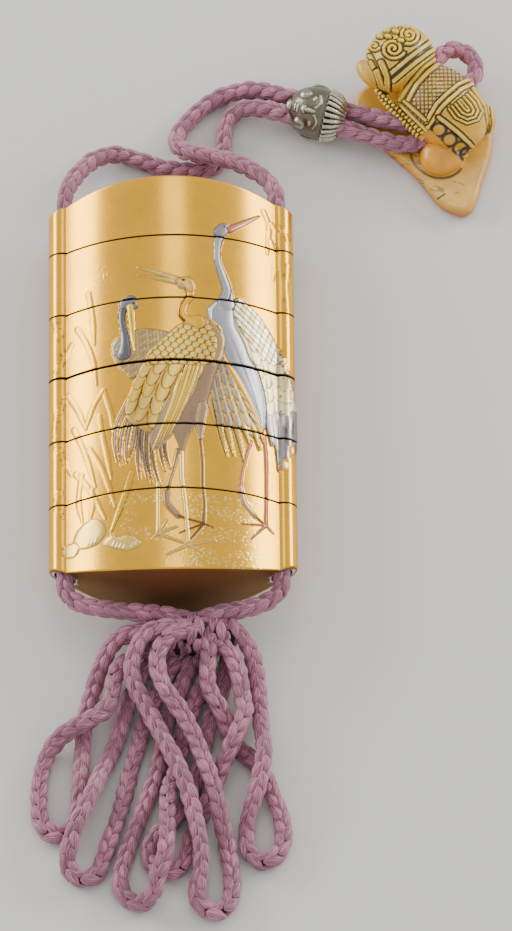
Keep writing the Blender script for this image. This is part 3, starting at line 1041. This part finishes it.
def lacquer_material():
    """Gold powder burnished into lacquer: a soft metal gloss, faintly clouded and scratched."""
    material, tree, output = new_material("burnished_gold_lacquer")
    place = add_node(tree, "ShaderNodeTexCoord").outputs["Object"]
    colour = add_node(tree, "ShaderNodeAttribute", attribute_name="powder_colour")
    matt = add_node(tree, "ShaderNodeAttribute", attribute_name="powder_matt")
    cloud = add_node(tree, "ShaderNodeTexNoise", {"Vector": place, "Scale": 160.0, "Detail": 3.0})
    powder = add_node(tree, "ShaderNodeTexNoise", {"Vector": place, "Scale": 2600.0, "Detail": 2.0})
    shade = add_node(tree, "ShaderNodeMapRange", {"Value": cloud.outputs["Fac"], "From Min": 0.3,
                                                  "From Max": 0.7, "To Min": 0.93, "To Max": 1.05})
    grain = add_node(tree, "ShaderNodeMapRange", {"Value": powder.outputs["Fac"], "From Min": 0.3,
                                                  "From Max": 0.7, "To Min": 0.95, "To Max": 1.04})
    value = add_node(tree, "ShaderNodeMath", {0: shade.outputs["Result"], 1: grain.outputs["Result"]},
                     operation="MULTIPLY")
    tone = add_node(tree, "ShaderNodeHueSaturation",
                    {"Color": colour.outputs["Color"], "Value": value.outputs["Value"]})
    rough = add_node(tree, "ShaderNodeMapRange", {"Value": matt.outputs["Fac"], "To Min": 0.15,
                                                  "To Max": 0.55})
    uneven = add_node(tree, "ShaderNodeMath", {0: powder.outputs["Fac"], 1: 0.1,
                                               2: rough.outputs["Result"]}, operation="MULTIPLY_ADD")
    bump = add_node(tree, "ShaderNodeBump", {"Height": powder.outputs["Fac"], "Strength": 0.25,
                                             "Distance": 0.02 * MM})
    shader = add_node(tree, "ShaderNodeBsdfPrincipled",
                      {"Base Color": tone.outputs["Color"], "Metallic": 0.9,
                       "Roughness": uneven.outputs["Value"], "Normal": bump.outputs["Normal"]})
    tree.links.new(shader.outputs["BSDF"], output.inputs["Surface"])
    return material


def evaluated(piece):
    """Applies the piece's modifiers to its mesh."""
    graph = bpy.context.evaluated_depsgraph_get()
    mesh = bpy.data.meshes.new_from_object(piece.evaluated_get(graph))
    piece.modifiers.clear()
    piece.data = mesh


def subtract(piece, cutter):
    cut = piece.modifiers.new("cut", "BOOLEAN")
    cut.operation = "DIFFERENCE"
    cut.solver = "MANIFOLD"
    cut.object = cutter
    evaluated(piece)


def colour_points(piece, name, colours):
    """Stores a linear colour on each vertex."""
    layer = piece.data.attributes.new(name, "FLOAT_COLOR", "POINT")
    tints = np.hstack([colours, np.ones((len(colours), 1))])
    layer.data.foreach_set("color", tints.astype(np.float32).ravel())


def value_points(piece, name, values):
    """Stores a number on each vertex."""
    layer = piece.data.attributes.new(name, "FLOAT", "POINT")
    layer.data.foreach_set("value", np.array(values, np.float32))


lacquer = lacquer_material()
INSIDE_LACQUER = linear("#1f140b")[:3]
END_LACQUER = linear("#8a6438")[:3]
INSIDE_MATT, BACK_MATT, END_MATT, CHANNEL_MATT = 0.6, 0.05, 0.7, 0.7


def case_section(name, rings, outside_rows, seam_rows, end_rows=(0, 0)):
    """A closed piece through the rings: which carry the picture, edge a seam or close an end."""
    count = len(OUTER)
    points = np.array(rings)
    height = np.zeros(points.shape[:2])
    colour = np.ones(points.shape) * INSIDE_LACQUER
    matt = np.full(points.shape[:2], INSIDE_MATT)
    rows = slice(*outside_rows)
    on_front = OUTER[:, 1] > 0
    x, y = points[rows, :, 0].ravel(), points[rows, :, 1].ravel()
    shape = points[rows].shape[:2]
    front = np.broadcast_to(on_front, shape)
    height[rows] = np.where(front, picture_at(picture_height, x, y).reshape(shape), 0)
    matt[rows] = np.where(front, picture_at(picture_matt, x, y).reshape(shape), BACK_MATT)
    colour[rows] = np.where(front[..., None], picture_at(picture_colour, x, y).reshape(shape + (3,)),
                            linear(GOLD)[:3])
    for i in seam_rows:
        colour[i], height[i] = INSIDE_LACQUER, 0
    for i in range(*end_rows):
        colour[i], height[i], matt[i] = END_LACQUER, 0, END_MATT
    points[..., 0] += OUTWARD[:, 0] * height
    points[..., 2] += OUTWARD[:, 1] * height
    vertices = [points[0].mean(axis=0), *points.reshape(-1, 3), points[-1].mean(axis=0)]
    last = len(vertices) - 1
    faces = []
    for i in range(count):
        j = (i + 1) % count
        faces.append((0, 1 + i, 1 + j))
        faces.append((last, last - count + j, last - count + i))
    a = (1 + np.arange(len(rings) - 1)[:, None] * count + np.arange(count)).ravel()
    b = (1 + np.arange(len(rings) - 1)[:, None] * count + (np.arange(count) + 1) % count).ravel()
    faces += np.column_stack([a, a + count, b + count, b]).tolist()
    piece = mesh_object(name, np.array(vertices) * MM, faces)
    tints = np.vstack([colour[0, :1], colour.reshape(-1, 3), colour[-1, :1]])
    colour_points(piece, "powder_colour", tints)
    value_points(piece, "powder_matt", np.concatenate([matt[0, :1], matt.ravel(), matt[-1, :1]]))
    piece.data.materials.append(lacquer)
    subtract(piece, channels)
    piece.data.set_sharp_from_angle(angle=math.radians(50))
    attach(piece, "root")
    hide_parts(name.removesuffix("_lacquered"))
    return piece


def channel_cutter():
    """The two cord channels, as one mesh that runs through the whole case."""
    around = 24
    vertices, faces = [], []
    for side in (-1, 1):
        first = len(vertices)
        for y in (-60, 60):
            for i in range(around):
                a = 2 * math.pi * i / around
                vertices.append(((side * CHANNEL_X + CHANNEL_RADIUS * math.cos(a)) * MM, y * MM,
                                 (AXIS_HEIGHT + CHANNEL_RADIUS * math.sin(a)) * MM))
        faces += tube_faces(around, 2, first, inside_out=True)
    cutter = mesh_object("channels", vertices, faces)
    cutter.data.materials.append(lacquer)
    colour_points(cutter, "powder_colour", np.array([INSIDE_LACQUER] * len(vertices)))
    value_points(cutter, "powder_matt", [CHANNEL_MATT] * len(vertices))
    return cutter


channels = channel_cutter()


def seam_above(i):
    return SEAMS[i] - SEAM_GAPS[i] / 2


def seam_below(i):
    return SEAMS[i] + SEAM_GAPS[i] / 2


inside_end = dome(CAVITY) - END_WALL
lid_bottom = seam_below(0)
lid_side = side_rings(lid_bottom + ARRIS, dome(OUTER) - END_ARRIS)
lid_rings = [ring(CAVITY, inside_end), ring(CAVITY, lid_bottom + RECESS_DEPTH),
             *recess_rings(lid_bottom), *lid_side, *end_rings(1)]
case_section("lid_lacquered", lid_rings, (5, len(lid_rings)), (5,),
             (5 + len(lid_side) + 3, len(lid_rings)))
for i in range(4):
    top, bottom = seam_above(i), seam_below(i + 1)
    side = side_rings(bottom + ARRIS, top - ARRIS)
    rings = [*recess_rings(bottom), *side, *collar_rings(top),
             ring(CAVITY, bottom + RECESS_DEPTH + SHELF)]
    case_section(f"case_{i + 1}_lacquered", rings, (3, 3 + len(side)), (3, 2 + len(side)))
foot_top = seam_above(4)
foot_side = side_rings(END_ARRIS - dome(OUTER), foot_top - ARRIS)
foot_end = end_rings(-1)[::-1]
foot_rings = [*foot_end, *foot_side, *collar_rings(foot_top), ring(CAVITY, -inside_end)]
outside = len(foot_end) + len(foot_side)
case_section("bottom_case_lacquered", foot_rings, (0, outside), (outside - 1,),
             (0, len(foot_end) - 3))
bpy.data.objects.remove(channels)


# ---------------------------------------------------------------- netsuke toggle
# A crouching capped beast on a rounded plate, carved from one piece of ivory or antler. Its cuts
# hold dark stain, and handling has rubbed the ridges back to yellow.

TOGGLE_CENTRE = np.array([57.0, 71.0])
TOGGLE_TURN = math.radians(-48)
TOGGLE_CELL = 0.21
PLATE_THICKNESS = 3.4
PLATE_CORNERS = [(-15.2, -7), (-12.6, -12.4), (-4, -13.6), (8, -13.4), (18, -14.2), (22.4, -11.4),
                 (18.4, -3), (12.6, 5.2), (6, 7.4), (-4, 5), (-12.6, -0.6)]
CORD_HOLE_RADIUS, CORD_HOLE_LENGTH, CORD_HOLE_GAP = 2.35, 13.0, 0.3
CARVER_SHEAR = math.tan(CAMERA_TILT)
WEAVE_PITCH = (0.86, 0.98)


def ellipsoid(centre, radii, around=40, rows=24):
    """A closed ellipsoid as (vertices, faces)."""
    vertices = [(centre[0], centre[1], centre[2] + radii[2])]
    for i in range(1, rows):
        fall = math.pi * i / rows
        for j in range(around):
            a = 2 * math.pi * j / around
            vertices.append((centre[0] + radii[0] * math.sin(fall) * math.cos(a),
                             centre[1] + radii[1] * math.sin(fall) * math.sin(a),
                             centre[2] + radii[2] * math.cos(fall)))
    vertices.append((centre[0], centre[1], centre[2] - radii[2]))
    last = len(vertices) - 1
    faces = []
    for j in range(around):
        k = (j + 1) % around
        faces.append((0, 1 + j, 1 + k))
        for i in range(rows - 2):
            a = 1 + i * around
            faces.append((a + j, a + around + j, a + around + k, a + k))
        faces.append((last, last - around + k, last - around + j))
    return vertices, faces


def rod(points, radius, around=12):
    """A closed round rod along points, as (vertices, faces)."""
    line = spline(points, 6) if len(points) > 2 else np.array(points, float)
    vertices = []
    for i, p in enumerate(line):
        ahead = Vector(line[min(i + 1, len(line) - 1)] - line[max(i - 1, 0)])
        turn = ahead.to_track_quat("Z", "Y")
        for j in range(around):
            a = 2 * math.pi * j / around
            vertices.append(Vector(p) + turn @ Vector((radius * math.cos(a), radius * math.sin(a), 0)))
    return vertices, tube_faces(around, len(line))


def slab(outline, levels):
    """A closed slab through levels of (z, inset toward the middle), as (vertices, faces)."""
    outline = np.array(outline)
    middle = outline.mean(axis=0)
    reach = np.linalg.norm(outline - middle, axis=1)[:, None]
    vertices = []
    for z, inset in levels:
        vertices += [(x, y, z) for x, y in middle + (outline - middle) * (1 - inset / reach)]
    return vertices, tube_faces(len(outline), len(levels))


def fused(name, forms, place, cell):
    """One closed skin round overlapping forms, placed in the scene."""
    vertices, faces = [], []
    for form_vertices, form_faces in forms:
        first = len(vertices)
        vertices += [place @ Vector(v) * MM for v in form_vertices]
        faces += [tuple(first + i for i in face) for face in form_faces]
    piece = mesh_object(name, vertices, faces)
    skin = piece.modifiers.new("skin", "REMESH")
    skin.mode = "VOXEL"
    skin.voxel_size = cell * MM
    evaluated(piece)
    return piece


def cut_away(piece, forms):
    """Cuts closed forms, in scene millimetres, out of a piece."""
    for vertices, faces in forms:
        cutter = mesh_object("cutter", [Vector(v) * MM for v in vertices], faces)
        subtract(piece, cutter)
        bpy.data.objects.remove(cutter)


def mesh_points(piece):
    """The vertices and their normals, as arrays in millimetres."""
    count = len(piece.data.vertices)
    points, normals = np.empty(count * 3), np.empty(count * 3)
    piece.data.vertices.foreach_get("co", points)
    piece.data.vertex_normals.foreach_get("vector", normals)
    return points.reshape(-1, 3) / MM, normals.reshape(-1, 3)


def move_points(piece, points):
    piece.data.vertices.foreach_set("co", (points * MM).ravel())
    piece.data.update()


def smoothed(piece, values, rounds):
    """Values at the vertices, evened out with their neighbours' a number of times."""
    edges = np.empty(len(piece.data.edges) * 2, int)
    piece.data.edges.foreach_get("vertices", edges)
    a, b = edges.reshape(-1, 2).T
    degree = np.bincount(np.concatenate([a, b]), minlength=len(values))
    for _ in range(rounds):
        columns = [np.bincount(a, column[b], len(values)) + np.bincount(b, column[a], len(values))
                   for column in values.T]
        values = 0.5 * values + 0.5 * np.column_stack(columns) / degree[:, None]
    return values


def hollows(piece, rounds):
    """How deep each vertex lies under the evened-out surface, in millimetres."""
    points, normals = mesh_points(piece)
    return np.einsum("ij,ij->i", smoothed(piece, points, rounds) - points, normals)


def mixed(colours, colour, share):
    return colours * (1 - share[:, None]) + np.array(linear(colour)[:3]) * share[:, None]


def carved_material(name, attribute, metallic, roughness, coat):
    """A carved surface in the colours stored on it, faintly clouded, with fine scratches."""
    material, tree, output = new_material(name)
    place = add_node(tree, "ShaderNodeTexCoord").outputs["Object"]
    colour = add_node(tree, "ShaderNodeAttribute", attribute_name=attribute)
    cloud = add_node(tree, "ShaderNodeTexNoise", {"Vector": place, "Scale": 420.0, "Detail": 4.0})
    fine = add_node(tree, "ShaderNodeTexNoise", {"Vector": place, "Scale": 2400.0, "Detail": 2.0})
    shade = add_node(tree, "ShaderNodeMapRange", {"Value": cloud.outputs["Fac"], "From Min": 0.3,
                                                  "From Max": 0.7, "To Min": 0.86, "To Max": 1.12})
    tone = add_node(tree, "ShaderNodeHueSaturation",
                    {"Color": colour.outputs["Color"], "Value": shade.outputs["Result"]})
    rough = add_node(tree, "ShaderNodeMapRange", {"Value": fine.outputs["Fac"], "To Min": roughness,
                                                  "To Max": roughness + 0.25})
    bump = add_node(tree, "ShaderNodeBump", {"Height": fine.outputs["Fac"], "Strength": 0.3,
                                             "Distance": 0.05 * MM})
    shader = add_node(tree, "ShaderNodeBsdfPrincipled",
                      {"Base Color": tone.outputs["Color"], "Metallic": metallic,
                       "Roughness": rough.outputs["Result"], "Normal": bump.outputs["Normal"],
                       "Coat Weight": coat, "Coat Roughness": 0.2})
    tree.links.new(shader.outputs["BSDF"], output.inputs["Surface"])
    return material


def spiral_line(x, y, size, hand, start=0.0, turns=2.1):
    """A flat spiral from its rim to its eye."""
    a = np.linspace(0, 2 * math.pi * turns, 60)
    r = size * (1 - 0.9 * a / a[-1])
    return np.column_stack([x + r * np.cos(start + hand * a), y + r * np.sin(start + hand * a)])


toggle_place = Matrix.Translation((*TOGGLE_CENTRE, 0)) @ Matrix.Rotation(TOGGLE_TURN, 4, "Z")
plate_line = closed_spline(PLATE_CORNERS, 8)
PLATE_LEVELS = [(0, 1.0), (0.25, 0.4), (0.9, 0), (2.5, 0), (3.1, 0.35), (PLATE_THICKNESS, 1.0)]
TOGGLE_MASSES = {
    "body": ((2.2, 0, 8.2), (11.2, 8.2, 8.2)),
    "head": ((-11.2, 0, 12), (7.2, 7.8, 6.7)),
    "muzzle": ((-16.4, 0, 8), (2.8, 5, 3.4)),
    "near_jaw": ((-13.6, -5.8, 8.8), (4.6, 2.4, 1.9)),
    "far_jaw": ((-13.6, 5.8, 8.8), (4.6, 2.4, 1.9)),
    "near_leg": ((9.2, -6.4, 4.6), (4.6, 5.2, 3.2)),
    "far_leg": ((8, 5, 4.4), (4, 4, 3.4)),
}
STRIP_LINE, STRIP_RADIUS = [(-10.4, -7.2, 9.4), (-3, -8.2, 8.8), (5, -7.6, 7.8)], 1.1
THIGH_LINE, THIGH_RADIUS = [(4.8, -5, 12.2), (9.4, -3.6, 10.4), (13, -2.2, 6.4)], 0.6
STUDS = [(5.9, -6.1, 10.3), (8.3, -5.7, 9.2), (10.7, -4.7, 7.7), (12.5, -3.6, 5.8)]
STUD_RADII = (1.15, 1.15, 1.15)
netsuke_forms = [slab(plate_line, PLATE_LEVELS),
                 *[ellipsoid(*mass) for mass in TOGGLE_MASSES.values()],
                 rod(STRIP_LINE, STRIP_RADIUS), rod(THIGH_LINE, THIGH_RADIUS),
                 *[ellipsoid(stud, STUD_RADII, 16, 10) for stud in STUDS]]
netsuke = fused("netsuke_carving", netsuke_forms, toggle_place, TOGGLE_CELL)
cord_holes = []
for end, after in ((LEFT_CORD[0], LEFT_CORD[1]), (RIGHT_CORD[0], RIGHT_CORD[1]),
                   (NETSUKE_LOOP[0], NETSUKE_LOOP[1]), (NETSUKE_LOOP[-1], NETSUKE_LOOP[-2])):
    way = (np.array(after) - end) / np.linalg.norm(np.array(after) - end)
    cord_holes.append(rod([end - way * CORD_HOLE_GAP, end + way * (CORD_HOLE_LENGTH - CORD_HOLE_GAP)],
                          CORD_HOLE_RADIUS, 20))
cut_away(netsuke, cord_holes)

# The cuts are laid out as the carver looks down on the beast, in its own directions: u runs from
# head to rump, v across it, both slanted with height.
points, normals = mesh_points(netsuke)
flat = np.column_stack([points[:, 0], points[:, 1] + CARVER_SHEAR * points[:, 2]]) - TOGGLE_CENTRE
u = flat[:, 0] * math.cos(TOGGLE_TURN) + flat[:, 1] * math.sin(TOGGLE_TURN)
v = -flat[:, 0] * math.sin(TOGGLE_TURN) + flat[:, 1] * math.cos(TOGGLE_TURN)
above = smooth_step((points[:, 2] - PLATE_THICKNESS - 0.3) / 0.6)
facing = smooth_step(0.5 + normals @ np.array([0, -math.sin(CAMERA_TILT), math.cos(CAMERA_TILT)]) * 3)
carve = np.zeros(len(points))
stain = np.zeros(len(points))


def raise_line(line, width, height, groove=0.42, depth=0.3):
    """A raised moulding along a line, with a stained groove on each side of it."""
    distance, _ = line_distance(np.array(line, float), u, v)
    ridge = smooth_step((width / 2 - distance) / 0.22 + 0.5)
    trench = smooth_step((width / 2 + groove - distance) / 0.16 + 0.9) * (1 - ridge)
    carve[:] = np.where(trench > 0.5, np.minimum(carve, -depth), carve)
    carve[:] = carve * (1 - ridge) + height * ridge
    stain[:] = np.maximum(stain, trench) * (1 - ridge)


# The cloth over the back: a woven net between two double hems
grid_u, grid_v = flat[:, 0] / WEAVE_PITCH[0], flat[:, 1] / WEAVE_PITCH[1]
knots = np.minimum(np.abs(np.sin(math.pi * grid_u)), np.abs(np.sin(math.pi * grid_v)))
weave = smooth_step((knots - 0.42) / 0.3)
left_hem = np.interp(v, (-3.5, 2.3, 6.3, 11.6), (-8.2, -10.0, -10.6, -10.5))
right_hem = np.interp(v, (-3.2, 2.0, 4.8, 8.6, 12.0), (0.7, -0.9, -1.2, -1.3, -0.4))
in_cloth = (u > left_hem + 0.6) & (u < right_hem - 0.6) & (v > -3.4)
carve[in_cloth] = (0.12 * weave - 0.16)[in_cloth]
stain[in_cloth] = (0.95 * (1 - weave))[in_cloth]
for shift in (0.0, 1.35):
    raise_line([(-8.2 + shift, -3.5 + 0.9 * shift), (-10.0 + shift, 2.3), (-10.6 + shift, 6.3),
                (-10.5 + shift, 12.4)], 0.75, 0.3, 0.3)
    raise_line([(0.8 - shift, -3.6 + 0.9 * shift), (-0.9 - shift, 2.0), (-1.2 - shift, 4.8),
                (-1.3 - shift, 8.6), (-0.4 - shift, 12.4)], 0.8, 0.34, 0.3)
raise_line([(-8.3, -3.5), (1.0, -3.7)], 0.5, 0.22, 0.25)
raise_line([(-7.6, -2.3), (-1.0, -2.2)], 0.6, 0.24, 0.25)
# Two bands round the neck, two spirals and a small curl on the cap, and knob curls before them
for band in (-14.4, -12.7):
    raise_line([(band, -0.6), (band - 0.1, 5.6), (band + 0.1, 11.6)], 0.85, 0.4, 0.4, 0.4)
raise_line(spiral_line(-18.4, 4.5, 2.5, -1, 0.4), 0.62, 0.34, 0.4, 0.36)
raise_line(spiral_line(-18.7, 9.2, 2.3, 1, -1.0), 0.62, 0.34, 0.4, 0.36)
raise_line(spiral_line(-21.7, 2.1, 1.25, -1, 0.4, 1.3), 0.5, 0.28, 0.32, 0.3)
for knob_u, knob_v in ((-22.8, 4.4), (-21.6, 5.6), (-22.9, 6.4), (-21.4, 7.6), (-22.6, 8.4),
                       (-24.2, 4.0), (-24.0, 6.8), (-20.8, 10.0), (-19.0, 6.9)):
    raise_line([(knob_u, knob_v), (knob_u + 0.5, knob_v + 0.3)], 0.9, 0.42, 0.26, 0.3)
# Folds of the jaw, and the leaf-shaped flap behind them
for jaw_u, jaw_v in ((-20.0, -0.5), (-18.2, -1.1), (-17.0, -2.0)):
    raise_line([(jaw_u - 2.4, jaw_v + 0.9), (jaw_u + 1.6, jaw_v - 0.5), (jaw_u + 4.6, jaw_v - 1.6)],
               0.8, 0.26, 0.3, 0.26)
raise_line([(-17.8, 0.4), (-14.6, -0.9), (-12.0, -3.0), (-13.4, -3.4), (-16.8, -1.7)], 1.1, 0.4, 0.4)
# The tassel's looped threads, the hairs of the rump, the thigh's bar and the strip of scales
for size in (0.35, 1.3, 2.25, 3.2):
    raise_line([(0.4, 6.3 - size * 0.95), (3.0, 6.0 - size), (3.2 + size * 0.75, 6.0 - size * 0.7),
                (3.3 + size, 6.0), (3.2 + size * 0.75, 6.0 + size * 0.7), (3.0, 6.0 + size),
                (0.4, 6.3 + size * 0.95)], 0.5, 0.26, 0.26, 0.3)
for shift in (0.0, 1.1, 2.2):
    raise_line([(0.2, 10.6 + shift), (5.2, 9.7 + shift * 0.8), (9.6, 6.8 + shift * 0.6),
                (12.4, 3.2 + shift * 0.4)], 0.7, 0.22, 0.28, 0.26)
raise_line([(0.4, 0.3), (6.0, 0.9), (11.9, 1.0)], 0.8, 0.3, 0.4)
for row, count in ((-4.6, 15), (-5.6, 15), (-6.5, 10)):
    for i in range(count):
        place_u = -13.6 + 1.02 * i + 0.5 * (row == -5.6)
        raise_line([(place_u, row), (place_u + 0.4, row - 0.25)], 0.78, 0.34, 0.22, 0.3)
# Stain left round the studs, and the leg kept smooth
for dot_u, dot_v in ((2.6, -1.7), (5.9, -1.6), (9.0, -1.2), (11.1, -1.0)):
    distance = np.hypot(u - dot_u, v - dot_v)
    stain = np.maximum(stain, smooth_step((2.1 - distance) / 0.3) * smooth_step((distance - 1.1) / 0.2))
smooth_leg = smooth_step((5.6 - np.hypot((u - 6.4) * 0.95, (v + 5.4) * 1.1)) / 0.6) * (v < -3)
cut_here = above * facing * (1 - smooth_leg)
points += normals * (carve * cut_here)[:, None]
points[:, 2] = np.maximum(points[:, 2], 0.0)
move_points(netsuke, points)
crevice = smooth_step((hollows(netsuke, 14) - 0.04) / 0.16)
stain = np.clip(np.maximum(stain * cut_here, crevice * above), 0, 1)
rubbed = smooth_step((-hollows(netsuke, 8) - 0.02) / 0.1)
IVORY, PLATE_TAN, RIM_AMBER, LEG_AMBER = "#d9a01c", "#d3a03c", "#c06a10", "#dd9206"
RUBBED_IVORY, STAIN = "#f4d456", "#170d08"
ivory = np.ones(points.shape) * linear(IVORY)[:3]
ivory = mixed(ivory, PLATE_TAN, (1 - above) * (points[:, 2] > 3))
ivory = mixed(ivory, RIM_AMBER, (1 - above) * smooth_step((3.0 - points[:, 2]) / 1.4))
ivory = mixed(ivory, LEG_AMBER, smooth_leg * above)
ivory = mixed(ivory, RUBBED_IVORY, rubbed * above * 0.85)
foot_ring = np.abs(np.hypot((u - 6.6) * 0.95, (v + 5.6) * 1.1) - 5.9)
stain = np.maximum(stain, smooth_step((0.5 - foot_ring) / 0.4) * (1 - above) * (v < -4) * 0.85)
toggle_random = np.random.default_rng(5)
for share_u, share_v, share_s in toggle_random.random((46, 3)):
    nick = (-6 + 22 * share_u, -13.5 + 6.5 * share_v)
    distance, _ = line_distance(np.array([nick, (nick[0] + 0.5 + share_s, nick[1] + 0.5)]), u, v)
    stain = np.maximum(stain, smooth_step((0.2 - distance) / 0.14) * (1 - above) * facing * 0.7)
for crack_u, crack_v in ((-6.2, -13.0), (6.4, -14.2), (14.6, -12.0)):
    crack = np.array([(crack_u, crack_v - 1.0), (crack_u + 0.2, crack_v + 0.9)])
    distance, _ = line_distance(crack, u, v)
    stain = np.maximum(stain, smooth_step((0.3 - distance) / 0.14) * (1 - above))
ivory = mixed(ivory, STAIN, np.clip(stain, 0, 1) * 0.96)
colour_points(netsuke, "ivory_colour", ivory)
netsuke.data.materials.clear()
netsuke.data.materials.append(carved_material("stained_carved_ivory", "ivory_colour", 0.0, 0.22, 0.35))
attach(netsuke, "root")
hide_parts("netsuke")


# ---------------------------------------------------------------- ojime bead
# A small head cast in dark silver, drilled from chin to crown, that slides on the two cords. Its
# hollows are patinated nearly black and the high places are polished by handling.

BEAD_CENTRE = (31.6, 69.9, 5.6)
BEAD_TURN, BEAD_TILT = math.radians(-16.7), math.radians(27)
BEAD_CELL = 0.13
BORE_RADIUS, BORE_SPREAD = 2.2, 2.15
LONG, WIDE, DEEP = 6.8, 5.7, 5.9

bead_level = Matrix.Translation(BEAD_CENTRE) @ Matrix.Rotation(BEAD_TURN, 4, "Z")
bead_place = bead_level @ Matrix.Rotation(BEAD_TILT, 4, "X")
bead_forms = [ellipsoid((0, 0, 0), (LONG, WIDE, DEEP)),
              ellipsoid((-1.1, 0, DEEP - 0.5), (1.9, 0.7, 0.9), 20, 12),
              ellipsoid((-2.2, 0, DEEP - 0.6), (0.7, 1.05, 0.8), 20, 12),
              ellipsoid((-3.7, 0, DEEP - 1.25), (0.34, 1.35, 0.6), 20, 12),
              ellipsoid((-4.3, 0, DEEP - 1.65), (0.4, 1.1, 0.65), 20, 12),
              ellipsoid((-5.6, 0, DEEP - 3.2), (1.1, 1.5, 1.3), 20, 12)]
for side in (-1, 1):
    bead_forms += [rod([(0.2, side * 0.7, DEEP - 0.3), (0.95, side * 2.0, DEEP - 0.7),
                        (0.35, side * 3.5, DEEP - 1.6)], 0.42),
                   ellipsoid((-0.45, side * 2.1, DEEP - 1.1), (0.62, 1.2, 0.7), 20, 12),
                   ellipsoid((-2.4, side * 2.7, DEEP - 2.4), (1.8, 1.6, 1.6), 20, 12),
                   ellipsoid((-0.6, side * (WIDE - 0.1), -0.6), (1.9, 0.6, 1.2), 20, 12)]
for lock in range(15):
    a = math.radians(-98 + 14 * lock)
    bead_forms.append(rod([(1.9 + 0.5 * math.cos(a), 5.9 * math.sin(a) * 0.96, 5.7 * math.cos(a)),
                           (4.4, 4.6 * math.sin(a), 4.8 * math.cos(a)),
                           (6.2, 2.5 * math.sin(a), 2.7 * math.cos(a))], 0.5, 10))
bead = fused("ojime_bead_cast", bead_forms, bead_place, BEAD_CELL)
slot_line = [(side * BORE_SPREAD + BORE_RADIUS * math.cos(a), BORE_RADIUS * math.sin(a))
             for side, first in ((1, -90), (-1, 90))
             for a in np.radians(np.linspace(first, first + 180, 12))]
bore = ([bead_level @ Vector((x, across, up)) for x in (-12, 12) for across, up in slot_line],
        [tuple(reversed(range(24))), tuple(range(24, 48))]
        + [(j, (j + 1) % 24, 24 + (j + 1) % 24, 24 + j) for j in range(24)])
cut_away(bead, [bore])
points, normals = mesh_points(bead)
points[:, 2] = np.maximum(points[:, 2], 0.0)
move_points(bead, points)
dark = smooth_step((hollows(bead, 24) + 0.01) / 0.12)
bright = smooth_step((-hollows(bead, 10) - 0.004) / 0.03)
SILVER_GREY, POLISHED_SILVER, PATINA = "#77705f", "#cfc8b4", "#16130f"
silver = np.ones(points.shape) * linear(SILVER_GREY)[:3]
silver = mixed(silver, POLISHED_SILVER, bright * 0.9)
silver = mixed(silver, PATINA, dark * 0.92)
colour_points(bead, "silver_colour", silver)
bead.data.materials.clear()
bead.data.materials.append(carved_material("patinated_silver", "silver_colour", 1.0, 0.16, 0.0))
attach(bead, "root")
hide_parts("ojime_bead")
